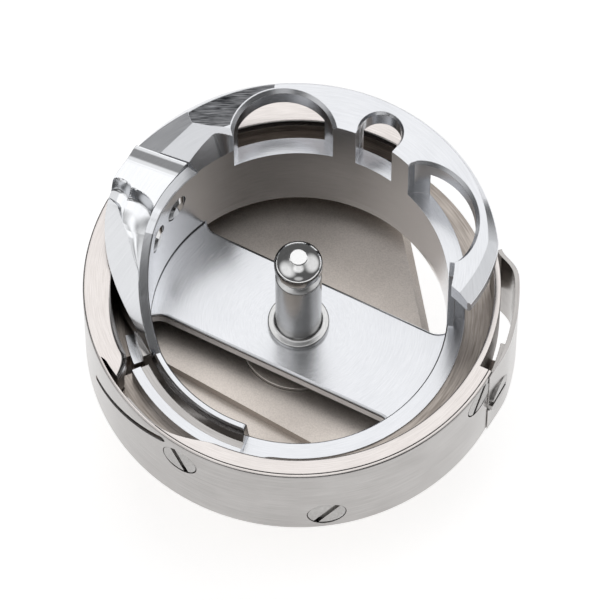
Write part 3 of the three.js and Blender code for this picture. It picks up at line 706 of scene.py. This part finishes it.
def make_hub():
    """The boss with its bore, and the two screws that clamp the shaft."""
    body = turned(
        [(0, HUB_BORE_DEPTH), (HUB_BORE_R, HUB_BORE_DEPTH), (HUB_BORE_R, 0.3), (HUB_BORE_R + 0.3, 0)]
        + fillet((HUB_BORE_R, 0), (HUB_R, 0), (HUB_R, 2), 0.5)
        + [(HUB_R, FLOOR_BOTTOM_Z - FIT_GAP), (HUB_SPIGOT_R, FLOOR_BOTTOM_Z - FIT_GAP)]
        + fillet((HUB_SPIGOT_R, 0), (HUB_SPIGOT_R, HUB_TOP_Z), (0, HUB_TOP_Z), 0.12)
        + [(0, HUB_TOP_Z)],
        closed=False,
    )
    for angle in SET_SCREW_ANGLES:
        depth = HUB_R - HUB_BORE_R + PROUD
        body = cut(body, radial(disc(SET_SCREW_R + FIT_GAP, -depth, PROUD, 5), HUB_R, angle, SET_SCREW_Z))
    rules = [("blasted", lambda c, n, r: r < HUB_BORE_R + 0.1 or n.z > 0.9)]
    finish_piece(body, "visual_hub", "hook", ["hub"], rules, "polished")
    length, tip, rim = 3.3, 0.4, 0.15
    for i, angle in enumerate(SET_SCREW_ANGLES):
        screw = turned([
            (0, -length), (SET_SCREW_R - tip, -length), (SET_SCREW_R, tip - length),
            (SET_SCREW_R, -rim), (SET_SCREW_R - rim, 0), (0, 0),
        ], closed=False, step=5)
        screw = cut(screw, block(SET_SCREW_R * 3, 0.6, 1.4))
        name = f"hub_set_screw_{i + 1}"
        finish_piece(radial(screw, HUB_R - 0.4, angle, SET_SCREW_Z), "visual_" + name, "hook", [name],
                     [], "screw")


# ---- Gib ----


def make_gib():
    """The ring that closes the race, with a thin tail on the right and a tab underneath."""
    start_width = 1.22
    section = turned(rounded([
        (RACE_R, RACE_LEDGE_Z + FIT_GAP, 0),
        (SHELL_INNER_R - FIT_GAP, RACE_LEDGE_Z + FIT_GAP, 0),
        (SHELL_INNER_R - FIT_GAP, LIP_Z - LIP_DEPTH + FIT_GAP, 0),
        (LIP_INNER_R - 0.04, LIP_Z - LIP_DEPTH + FIT_GAP, 0),
        (LIP_INNER_R - 0.04, LIP_Z, 0.05),
        (RACE_MOUTH_R, LIP_Z, 0.18),
        (RACE_MOUTH_R, RACE_ROOF_Z, 0),
        (RACE_R, RACE_ROOF_Z, 0),
    ]))

    def inner_edge(angle):
        """The gib starts narrow and grows to its full width over 20 degrees."""
        return RACE_MOUTH_R - 0.01 + start_width * (1 - smooth(GIB_START, GIB_START + 20, angle))
    plan = prism(band(inner_edge, BODY_R, GIB_START, WALL_END + 360), 10, LIP_Z + 1)
    tail = keep(turned(rounded([
        (RACE_MOUTH_R, RACE_ROOF_Z, 0), (GIB_TAIL_OUTER_R, RACE_ROOF_Z, 0),
        (GIB_TAIL_OUTER_R, LIP_Z, 0.1), (RACE_MOUTH_R, LIP_Z, 0.18),
    ])), wedge(WALL_END - 1, GIB_TAIL_END))
    tab = prism(band(RACE_R + FIT_GAP, SHELL_INNER_R - FIT_GAP, GIB_TAB["start"], GIB_TAB["end"]),
                GIB_TAB["bottom"], RACE_LEDGE_Z + 0.3)
    body = join(keep(section, plan), tail, tab)
    for name, screw in WALL_SCREWS.items():
        if name.startswith("gib"):
            body = cut(body, screw_hole(**screw))
    rules = [
        # Painted shade: the gib's faces down in the race take the darker race metal.
        ("dark", lambda c, n, r: c.z < LIP_Z - 0.3),
        ("polished", lambda c, n, r: r > SHELL_INNER_R and n.z < 0.7),
    ]
    return finish_piece(body, "visual_gib", "hook", ["gib"], rules, "ground")


# ---- Needle guard ----
GUARD_START, GUARD_END = -29, 11
GUARD_INNER_R = BODY_R + FIT_GAP


def make_needle_guard():
    """A curved plate that turns in at its free end and is feathered where it lies on the wall."""
    inward, thin_edge = 1.05, 0.1

    def turn_in(angle):
        return inward * float(smooth(0, GUARD_END, angle)) ** 2

    def outer(angle):
        feather = (GUARD_OUTER_R - BODY_R - thin_edge) * (1 - smooth(GUARD_START, GUARD_START + 12, angle))
        return GUARD_OUTER_R - turn_in(angle) - feather

    outline = band(lambda a: GUARD_INNER_R - turn_in(a), outer, GUARD_START, GUARD_END, 0.5)
    body = cut(prism(outline, BODY_BOTTOM_Z, LIP_Z), screw_hole(**WALL_SCREWS["guard_screw"]))
    return finish_piece(body, "visual_needle_guard", "hook", ["needle_guard"], [], "polished")


# ---- Bobbin-case holder ----
FINGER = dict(start=134, end=203)  # first and last angle
FINGER_TAB_BOTTOM_Z = LIP_Z - 2.8
FACET_INNER_Z, FACET_OUTER_Z = LIP_Z + 3, LIP_Z + 3.45
BLADE_TOP_START = 157
BLADE_TOP_Z = LIP_Z + 2.4
TIP_OUTER_R = 12.6
STEP_OFFSET, STEP_TILT = 5.66, 18.9  # distance from the axis, and degrees from the X direction
NOTCH_1 = dict(x=-1.16, y=10.74, radius=3.96)
NOTCH_2 = dict(x=6.47, y=11.05, radius=1.7)
NOTCH_2_NECK = (51.5, 67.5)  # first and last angle
NOTCH_3 = dict(start=-3, end=43, depth=2.65)


def blade_top(edge, degrees):
    """Height of the guide finger's blade at its inner or outer edge."""
    along = linear(BLADE_TOP_START, FINGER["end"] + 1, degrees)
    return BLADE_TOP_Z - (BLADE_TOP_Z - RAISED_WALL_Z) * (along ** 1.4 if edge == "inner" else along)


def wall_top(degrees):
    """Top of the cup wall at its inner edge, as it rises and falls round the cup."""
    if degrees > 350:
        return LOW_RIM_Z + (FLANGE_BOTTOM_Z + 0.2 - LOW_RIM_Z) * float(linear(353.4, 354.6, degrees))
    if degrees > 230:
        rounding = 0.35 * (1 - math.sqrt(1 - float(linear(248.6, 250.2, degrees)) ** 2))
        fall = float(linear(250.2, 250.7, degrees))
        return LOW_RIM_Z + (RAISED_WALL_Z - rounding - LOW_RIM_Z) * (1 - fall)
    if degrees > 185:
        return float(blade_top("inner", degrees))
    if degrees > 113:
        end = blade_top("inner", 185) - LIP_Z
        angles, rises = [123, 139, 157, 165, 185], [2.07, 2.54, 2.85, 2.6, end]
        return LIP_Z + float(np.interp(degrees, angles, rises))
    return FLANGE_TOP_Z - 0.6


def cup_wall():
    """The cup wall, thinner behind the guide finger and under the flange tip, and sloped outside its
    raised front-left part.
    """
    top = FLANGE_TOP_Z
    section = [
        (CUP_FOOT_R + 0.02, CUP_BOTTOM_Z), (CUP_OUTER_R, CUP_BOTTOM_Z), (CUP_OUTER_R, top),
        (CUP_INNER_R + 0.1, top), (CUP_INNER_R, top - 0.1), (CUP_INNER_R, CUP_FOOT_Z),
        (CUP_FOOT_R, BAR_TOP_Z),
    ]

    def shape(radii, heights, degrees):
        """Beside the facet of the guide finger the top slopes up to it."""
        inner = wall_top(degrees)
        beside = linear(FINGER["start"] - 14, FINGER["start"], degrees) * (1 - linear(154, 160, degrees))
        rise = (FACET_INNER_Z - inner) / (LEFT_WALL_R - CUP_INNER_R) * float(beside)
        slope = rise * np.maximum(radii - CUP_INNER_R - 0.1, 0)
        return radii, np.where(heights > top - 1, heights - top + inner + slope, heights)
    wall = turned(section, step=0.5, shape=shape)
    seat_start, slope_depth = 130, 1.15
    relief = keep(ring(LEFT_WALL_R, CUP_OUTER_R + PROUD, FINGER_TAB_BOTTOM_Z - FIT_GAP, top),
                  wedge(seat_start, FINGER["end"] + 0.1))
    slope = keep(turned([
        (CUP_OUTER_R, RAISED_WALL_Z - slope_depth), (CUP_OUTER_R + PROUD, RAISED_WALL_Z - slope_depth),
        (CUP_OUTER_R + PROUD, RAISED_WALL_Z + PROUD), (RAISED_WALL_R - 0.15, RAISED_WALL_Z + PROUD),
        (RAISED_WALL_R - 0.1, RAISED_WALL_Z), (RAISED_WALL_R + 0.05, RAISED_WALL_Z - 0.15),
        (RAISED_WALL_R + 0.25, RAISED_WALL_Z - 0.6),
    ]), wedge(FINGER["end"] - 1, RAISED_WALL_END))
    thin_r = CUP_INNER_R + 0.55
    outline = band(thin_r, CUP_OUTER_R + PROUD, -11, NOTCH_3["start"] - 0.5)
    under_tip = prism(outline, LOW_RIM_Z, FLANGE_BOTTOM_Z)
    return cut(wall, relief, slope, under_tip)


def bar_outline(reach):
    """Plan of the strap across the cup: each corner of its windows is an arc that touches the wall."""
    def corner(side, sign):
        centre_y = abs(side) + WINDOW_CORNER_R
        centre_x = math.sqrt((reach - WINDOW_CORNER_R) ** 2 - centre_y ** 2)
        slope = math.degrees(math.atan2(centre_y, centre_x))
        return [(sign * (centre_x + x), math.copysign(centre_y + y, side))
                for x, y in arc(WINDOW_CORNER_R, slope, -90, 6)]

    def towards(point):
        return math.degrees(math.atan2(point[1], point[0]))
    right_front, right_back = corner(BAR_RIGHT, 1), corner(BAR_LEFT, 1)
    left_front, left_back = corner(BAR_RIGHT, -1), corner(BAR_LEFT, -1)
    right_end = arc(reach, towards(right_front[0]), towards(right_back[0]))[1:-1]
    left_end = arc(reach, towards(left_back[0]), towards(left_front[0]) + 360)[1:-1]
    return left_front + right_front[::-1] + right_end + right_back + left_back[::-1] + left_end


def shrunk(outline, by):
    """An outline moved inwards by a small distance, except where it is buried in the cup wall."""
    points = np.array(outline)
    edges = np.roll(points, -1, axis=0) - np.roll(points, 1, axis=0)
    inwards = np.stack([-edges[:, 1], edges[:, 0]], axis=1)
    inwards /= np.linalg.norm(inwards, axis=1)[:, None]
    free = 1 - smooth(CUP_INNER_R, WINDOW_REACH, np.linalg.norm(points, axis=1))[:, None]
    return [tuple(p) for p in points + inwards * by * free]


def floor_bar():
    """The strap that carries the stud, with softened edges along its windows."""
    outline = bar_outline(WINDOW_REACH)
    rounding = [(0.22, 0), (0.11, 0.05), (0.04, 0.13), (0, 0.26)]  # how far down, and how far in
    layers = [(outline, CUP_BOTTOM_Z)]
    layers += [(shrunk(outline, inset), BAR_TOP_Z - down) for down, inset in rounding]
    return rotated(stacked(layers), 2, BAR_ANGLE)


def shoulder():
    """Stepped shoulder outside the raised front-left wall, which tapers off to the right."""
    start, taper_start, end = 204.5, 246, 262
    top, step, step_r, outer, low_outer = LIP_Z - 3.15, 0.2, 13.65, 14.4, 13.9

    def outer_edge(angle):
        return outer - (outer - CUP_OUTER_R) * smooth(taper_start, end, angle)
    inner_r = CUP_OUTER_R - 0.2
    body = prism(band(inner_r, outer_edge, start, end), RIB_BOTTOM_Z, top)
    low_land = prism(band(inner_r, low_outer, 190, 201), RIB_BOTTOM_Z, RIB_TOP_Z + 0.35)
    body = cut(body, ring(inner_r - 0.1, step_r, top - step, top + PROUD),
               prism(band(CUP_OUTER_R - 1, 16, RAISED_WALL_END, end + 2), LOW_RIM_Z, FLANGE_TOP_Z))
    return body, low_land


def flange():
    """Flat on top, with a wide conical bevel on the left, a narrow one behind and one growing to the tip."""
    bevel, wide_bevel, left_flat_r, tip_bevel = 0.3, 1.3, 15.55, 0.95
    curve_start, cut_start = 5, -13
    section = [
        (CUP_INNER_R, FLANGE_BOTTOM_Z), (FLANGE_R - 0.15, FLANGE_BOTTOM_Z),
        (FLANGE_R, FLANGE_BOTTOM_Z + 0.15),
        (FLANGE_R, FLANGE_TOP_Z - bevel - 0.1), (FLANGE_R - 0.06, FLANGE_TOP_Z - bevel),
        (FLANGE_R - bevel, FLANGE_TOP_Z), (CUP_INNER_R, FLANGE_TOP_Z),
    ]

    def past(start, angle):
        return float(linear(start, FLANGE_RIGHT_END, angle))

    def shape(radii, heights, degrees):
        radii, heights = radii.copy(), heights.copy()
        turn = degrees if degrees < 200 else degrees - 360
        left = float(smooth(80, 115, turn))
        radii[1:5] += left * (FLANGE_LEFT_R - FLANGE_R) - 1.7 * past(curve_start, turn) ** 1.2
        tip = float(smooth(30, FLANGE_RIGHT_END, turn))
        radii[5] = radii[4] + 0.06 - bevel - tip_bevel * tip + left * (left_flat_r - FLANGE_LEFT_R + bevel)
        heights[3:5] -= left * (wide_bevel - bevel) + 0.2 * tip
        return radii, heights
    body = turned(section, step=0.5, shape=shape)
    root = keep(ring(CUP_INNER_R, CUP_OUTER_R + PROUD, LEFT_WALL_Z - 0.5, FLANGE_BOTTOM_Z + 0.1),
                wedge(112, FLANGE_LEFT_END))

    def inner(angle):
        if angle > NOTCH_3["start"]:
            return CUP_INNER_R - 0.3
        if angle > cut_start:
            return CUP_INNER_R + 0.4
        return CUP_INNER_R + 0.5 + 1.4 * past(cut_start, angle)
    outline = band(inner, BODY_R + 1, FLANGE_RIGHT_END, FLANGE_LEFT_END, 0.5)
    body = keep(join(body, root), prism(outline, LEFT_WALL_Z - 1, FLANGE_TOP_Z + 1))
    return cut(body, *roof_cuts(), inner_bevel(), left_of_step(0), brushed_patch())


def brushed_patch():
    """The left end of the flat is brushed, a hundredth of a millimetre down from the rest."""
    depth, right, left, clear = 0.01, 97, 124.3, 0.4
    around = [(NOTCH_1["x"] + x, NOTCH_1["y"] + y) for x, y in arc(NOTCH_1["radius"] + clear, 165, 100, 3)]
    front = [(-8.68, 12.75), (-8.66, 11.95), (-6.98, 11.6), (-5.9, 11.5), (-5.4, 11.7)]
    outline = arc(FLANGE_LEFT_R - 0.98, right, left) + front + around
    return prism(outline, FLANGE_TOP_Z - depth, FLANGE_TOP_Z + 1)


def slab(x, y, z, fall_x, fall_y):
    """A block whose underside passes through a point and falls towards -X and -Y by those angles."""
    body = moved(block(12, 12, 4), 0, 0, 2)
    return moved(rotated(rotated(body, 0, fall_y), 1, -fall_x), x, y, z)


def roof_cuts():
    """The left end of the flange is ground to a low roof of two planes, one falling to the front."""
    front_plane = slab(-8.64, 11.89, FLANGE_TOP_Z, 3.4, 21)
    left_plane = slab(-10.92, 9.64, FLANGE_TOP_Z - 1, 16.3, 6.2)
    area = band(CUP_INNER_R - 1, BODY_R + 1, 113, 160)
    return [keep(plane, prism(area, LEFT_WALL_Z, FLANGE_TOP_Z + 4)) for plane in (front_plane, left_plane)]


def inner_bevel():
    """A steep conical bevel from the roof down to the inside of the cup wall."""
    rise = 3.0
    section = [(CUP_INNER_R - 1, 0), (CUP_INNER_R, 0), (CUP_INNER_R, rise), (CUP_INNER_R - 1, rise)]

    def shape(radii, heights, degrees):
        depth = 0.5 * float(smooth(113.5, 122, degrees)) if degrees < 160 else 0
        slope = np.array([0, -0.02, depth * rise - 0.02, 0])
        return radii + slope, heights + LEFT_WALL_Z
    return keep(turned(section, shape=shape), wedge(100, 150))


def left_of_step(gap):
    """Everything past the straight step between the flange and the guide finger."""
    reach = 40
    space = moved(block(reach, reach, reach), -reach / 2 - 2, STEP_OFFSET - gap - reach / 2, LIP_Z)
    return rotated(space, 2, -STEP_TILT)


def notch_3_edge(grow=0.0):
    def edge(angle):
        along = (angle - NOTCH_3["start"]) / (NOTCH_3["end"] - NOTCH_3["start"])
        return CUP_INNER_R + grow + NOTCH_3["depth"] * math.sin(math.pi * min(1, max(0, along))) ** 0.6
    return edge


def notches():
    """The three notches, cut down to the wall top below the flange, with chamfered mouths."""
    inside = CUP_INNER_R - PROUD
    chamfer, top = 0.32, FLANGE_TOP_Z + 0.02
    neck = band(inside, 12.7, *NOTCH_2_NECK)
    outlines = [
        (circle(**NOTCH_1), circle(NOTCH_1["x"], NOTCH_1["y"], NOTCH_1["radius"] + chamfer)),
        (circle(**NOTCH_2), circle(NOTCH_2["x"], NOTCH_2["y"], NOTCH_2["radius"] + chamfer / 2)),
        (band(inside, notch_3_edge(), NOTCH_3["start"], NOTCH_3["end"]),
         band(inside, notch_3_edge(chamfer), NOTCH_3["start"], NOTCH_3["end"])),
    ]
    cutters = [prism(neck, LIP_Z, FLANGE_TOP_Z + PROUD)]
    for outline, mouth in outlines:
        cutters.append(prism(outline, LIP_Z, FLANGE_TOP_Z + PROUD))
        cutters.append(prism(outline, top - chamfer, top, mouth))
    return cutters


RIVETS = {"guide_rivet_1": 145, "guide_rivet_2": 160}
RIVET_R, RIVET_HEAD_R = 0.85, 1.1
FINGER_TAB_R = 14.5


def rivet(angle, grow=0.0):
    """A rivet with a domed end in the cup, or with grow its flat-ended hole."""
    start, middle, end = CUP_INNER_R + 0.02, CUP_INNER_R + 0.35, FINGER_TAB_R - 0.3
    crown, shoulder_rise, rim_rise = (PROUD, PROUD, PROUD) if grow else (0.3, 0.21, 0)
    body = turned([
        (0, start - crown), (RIVET_HEAD_R * 0.6 + grow, start - shoulder_rise),
        (RIVET_HEAD_R + grow, start - rim_rise), (RIVET_HEAD_R + grow, middle + grow),
        (RIVET_R + grow, middle + grow), (RIVET_R + grow, end + grow), (0, end + grow),
    ], closed=False, step=7.5)
    return radial(body, 0, angle, LIP_Z)


def make_basket():
    """The cup with its bar, rib, shoulder and notched flange, as one piece."""
    rib = cut(ring(CUP_OUTER_R - 0.3, RIB_R, RIB_BOTTOM_Z, RIB_TOP_Z), wedge(197, 203))
    body = join(cup_wall(), floor_bar(), rib, *shoulder(), flange())
    body = cut(body, *notches(), disc(STUD_PIN_R + FIT_GAP, CUP_BOTTOM_Z - PROUD, BAR_TOP_Z + PROUD, 5))
    body = cut(body, *[rivet(angle, 2 * FIT_GAP) for angle in RIVETS.values()])

    def faces_axis(c, n, r, share):
        """True where a normal points at the axis, more or less squarely."""
        return n.x * c.x + n.y * c.y < -share * r
    rules = [
        # Painted shade: the rib and the outer wall below it, down in the race, take the darker race metal.
        ("dark", lambda c, n, r: r > CUP_OUTER_R - 0.05 and c.z < RIB_TOP_Z + 0.05),
        ("polished", lambda c, n, r: RAISED_WALL_R < r < 13.64 and LIP_Z - 3.6 < c.z < LIP_Z - 2.42),
        ("brushed", lambda c, n, r: n.z > 0.99 and FLANGE_TOP_Z - 0.02 < c.z < FLANGE_TOP_Z - 0.005),
        # Painted shade: the inner wall and its foot take the darker bore metal, with its painted edge-on
        # highlight.
        ("bore", lambda c, n, r: r < CUP_INNER_R + 0.05 and faces_axis(c, n, r, 0.9)),
        ("bore", lambda c, n, r: r < CUP_FOOT_R + 0.15 and c.z < CUP_FOOT_Z and faces_axis(c, n, r, 0.8)),
    ]
    return finish_piece(body, "visual_basket", "holder", ["basket"], rules, "satin")


# ---- Guide finger ----
FINGER_INNER_R = LEFT_WALL_R + FIT_GAP
CUSP_R = 14.9
RIDGE_ANGLE = [156.5, 158, 166, 177]  # the ridge passes these angles at the radii below
RIDGE_R = [16.4, 15.4, 13.8, 12.6]
SCALLOP_WIDTH = 2.3  # degrees over which the facet falls to the petals
PETAL_SECTIONS = 26  # points across each petal and across the flank


def finger_outer(degrees):
    """Outer radius of the guide finger, which runs in to the cup wall at its tip."""
    return TIP_OUTER_R + (FLANGE_LEFT_R - TIP_OUTER_R) * (1 - float(smooth(150, 208, degrees)))


def scallop(radii):
    """Angle at which the facet ends, at each radius: an arch over either petal."""
    def arch(foot, rise, middle, reach):
        """An arch of that rise in degrees, over radii within reach of its middle."""
        return foot - rise * np.sqrt(np.clip(1 - ((radii - middle) / reach) ** 2, 0, 1))
    inner_middle, outer_middle = 14.2, 15.6
    over_inner = np.where(
        radii > inner_middle, arch(152.8, 0.8, inner_middle, 0.7), arch(156.6, 4.6, inner_middle, 1.72),
    )
    return np.where(radii > CUSP_R, arch(153, 1.7, outer_middle, 0.8), over_inner)


def finger_top(degrees):
    """Radii and heights of the top at one angle, from the inside out.

    The facet ends at two scallops. Below them lie two hollow petals with a low cusp between them, and
    from the outer petal a sharp ridge swings in to the cup wall; outside it the blade falls away.
    """
    outer_r = finger_outer(degrees)
    ridge_r = min(float(np.interp(degrees, RIDGE_ANGLE, RIDGE_R)), outer_r - 0.04)
    cusp_r = min(CUSP_R - 0.03 * max(degrees - 152.5, 0), 0.5 * (ridge_r + FINGER_INNER_R) + 1)
    cusp_r = max(min(cusp_r, ridge_r - 0.02), FINGER_INNER_R + 0.02)
    ridge_z = blade_top("inner", degrees)
    fading = float(1 - linear(164, 180, degrees))
    hollow, low = 0.13 * fading, 0.3 * fading
    share = np.linspace(0, 1, PETAL_SECTIONS)
    inner_petal = ridge_z - low - hollow * np.sin(math.pi * share)
    outer_petal = ridge_z - low * (1 - share) - hollow * np.sin(math.pi * share)
    flank = ridge_z + (float(blade_top("outer", degrees)) - 0.1 - ridge_z) * share
    radii = np.concatenate([
        FINGER_INNER_R + (cusp_r - FINGER_INNER_R) * share,
        cusp_r + (ridge_r - cusp_r) * share[1:],
        ridge_r + (outer_r - ridge_r) * share[1:],
    ])
    blade = np.concatenate([inner_petal, outer_petal[1:], flank[1:]])
    across = (radii - FINGER_INNER_R) / (FLANGE_LEFT_R - FINGER_INNER_R)
    from_step = STEP_OFFSET - radii * math.sin(math.radians(degrees + STEP_TILT))
    up_to_step = 0.5 * (1 - smooth(0, 1.6, from_step)) ** 1.5
    facet = FACET_INNER_Z + (FACET_OUTER_Z - FACET_INNER_Z) * across + up_to_step
    past_edge = np.clip((degrees - scallop(radii)) / SCALLOP_WIDTH, 0, 1)
    drop = np.sin(math.pi / 2 * past_edge)
    return radii, facet + (blade - facet) * drop


def make_guide_finger():
    """Tab behind the wall, shelf over the hook, flat facet with a fillet at the step, and the long blade."""
    def shape(_, __, degrees):
        outer = finger_outer(degrees)
        tab = min(FINGER_TAB_R, outer - 0.03)
        top_r, top_z = finger_top(degrees)
        shelf = min(LIP_Z + 0.2, top_z[-1] - 0.35)
        rim = max(shelf, top_z[-1] - 1.4)
        bottom = min(FINGER_TAB_BOTTOM_Z, top_z.min() - 0.4)
        r = np.concatenate([[FINGER_INNER_R, tab, tab, outer], top_r[::-1]])
        z = np.concatenate([[bottom, bottom, shelf, rim], top_z[::-1]])
        return r, z
    size = 4 + len(finger_top(0)[0])
    body = turned([(0, 0)] * size, step=0.2, shape=shape, span=(FINGER["start"], FINGER["end"]))
    body = keep(body, left_of_step(FIT_GAP))
    body = cut(body, *[rivet(angle, FIT_GAP) for angle in RIVETS.values()])
    finish_piece(body, "visual_guide_finger", "holder", ["guide_finger"], [], "chrome")
    for name, angle in RIVETS.items():
        finish_piece(rivet(angle), "visual_" + name, "holder", [name], [], "mirror")


# ---- Centre stud ----


def make_centre_stud():
    """Riveted foot, collar, shaft with a groove below the head, and a domed head with a small flat."""
    collar, shaft, groove, head, flat, foot = 2.45, 1.83, 1.45, 1.92, 0.67, 2.3
    seat = BAR_TOP_Z + FIT_GAP
    foot_top_z = STUD_BOTTOM_Z + 0.5
    neck_z = LIP_Z + 1.7
    dome_z = neck_z + 1.75
    rise = STUD_TOP_Z - dome_z
    dome = [(head * math.cos(a), dome_z + rise * math.sin(a)) for a in np.linspace(0, 1.18, 9)]
    body = turned(
        [(0, STUD_BOTTOM_Z), (foot - 0.4, STUD_BOTTOM_Z), (foot, foot_top_z), (STUD_PIN_R, foot_top_z),
         (STUD_PIN_R, seat), (collar, seat)]
        + fillet((collar, seat), (collar, seat + 0.5), (shaft, seat + 0.5), 0.12)
        + fillet((collar, seat + 0.5), (shaft, seat + 0.5), (shaft, neck_z), 0.25)
        + fillet((shaft, seat), (shaft, neck_z - 0.1), (groove, neck_z), 0.12)
        + [(groove, neck_z + 0.1), (groove, neck_z + 0.3)]
        + [(head - 0.12, neck_z + 0.9), (head, neck_z + 1.2)] + dome
        + [(flat, STUD_TOP_Z), (0, STUD_TOP_Z)],
        closed=False, step=3,
    )
    rules = [("mirror", lambda c, n, r: c.z > neck_z + 0.2)]
    return finish_piece(body, "visual_centre_stud", "holder", ["centre_stud"], rules, "shaft")


# ---- Stage ----


def soft_card(nodes, direction, azimuth, elevation, inner, outer):
    """1 within inner degrees of a direction of the sky, fading to 0 at outer degrees."""
    a, e = math.radians(azimuth), math.radians(elevation)
    aim = (math.cos(e) * math.cos(a), math.cos(e) * math.sin(a), math.sin(e))
    dot = nodes.add("ShaderNodeVectorMath", {0: direction, 1: aim}, operation="DOT_PRODUCT").outputs["Value"]
    return nodes.add("ShaderNodeMapRange", {
        "Value": dot, "From Min": math.cos(math.radians(outer)), "From Max": math.cos(math.radians(inner)),
        "To Min": 0.0, "To Max": 1.0,
    }, interpolation_type="SMOOTHSTEP").outputs[0]


SKY = 0.12
CARDS = [
    # azimuth and elevation of the middle, inner and outer radius in degrees, and brightness
    (90, 63, 12, 30, 1.2),
    (200, 45, 12, 40, 0.9),
    (14, 42, 14, 38, 0.85),
    (-90, 82, 8, 19, 0.9),
    (-90, 30, 6, 20, 0.5),
]


def make_stage():
    """A wide pale floor, which glows a little, under a dim sky with soft bright cards."""
    size = 3.0
    floor = mesh_object("floor", [(-size, -size, 0), (size, -size, 0), (size, size, 0), (-size, size, 0)],
                        [(0, 1, 2, 3)])
    material = bpy.data.materials.new("pale_floor")
    material.use_nodes = True
    shader = material.node_tree.nodes["Principled BSDF"]
    shader.inputs["Base Color"].default_value = (0.75, 0.75, 0.75, 1)
    shader.inputs["Roughness"].default_value = 0.9
    shader.inputs["Emission Color"].default_value = (1, 1, 1, 1)
    shader.inputs["Emission Strength"].default_value = 0.64
    floor.data.materials.append(material)

    world = bpy.data.worlds.new("studio")
    bpy.context.scene.world = world
    world.use_nodes = True
    tree = world.node_tree
    tree.nodes.clear()
    nodes = Nodes(tree)
    direction = nodes.add("ShaderNodeTexCoord").outputs["Generated"]
    light = SKY
    for azimuth, elevation, inner, outer, brightness in CARDS:
        card = soft_card(nodes, direction, azimuth, elevation, inner, outer)
        light = nodes.math("ADD", nodes.math("MULTIPLY", card, brightness), light)
    background = nodes.add("ShaderNodeBackground", {"Color": light, "Strength": 1.0})
    nodes.add("ShaderNodeOutputWorld", {"Surface": background.outputs[0]})


def make_camera():
    """Looks along +Y from 62 degrees above the rim, from half a metre."""
    elevation, distance, lens = math.radians(62), 0.5, 381.3
    data = bpy.data.cameras.new("camera")
    data.lens = lens
    data.sensor_width = 36
    data.shift_x, data.shift_y = 0.0025, -0.0265
    data.clip_start = 0.01
    camera = bpy.data.objects.new("camera", data)
    bpy.context.scene.collection.objects.link(camera)
    camera.location = (0, -distance * math.cos(elevation), LIP_Z * MM + distance * math.sin(elevation))
    camera.rotation_euler = (math.pi / 2 - elevation, 0, 0)
    bpy.context.scene.camera = camera


make_camera()
make_hook_body()
make_hub()
make_gib()
for screw_name, screw_place in WALL_SCREWS.items():
    head = wall_screw(**screw_place)
    finish_piece(head, "visual_" + screw_name, "hook", [screw_name], [], "screw")
make_needle_guard()
make_basket()
make_guide_finger()
make_centre_stud()
make_stage()
bpy.context.scene.view_settings.view_transform = "Standard"
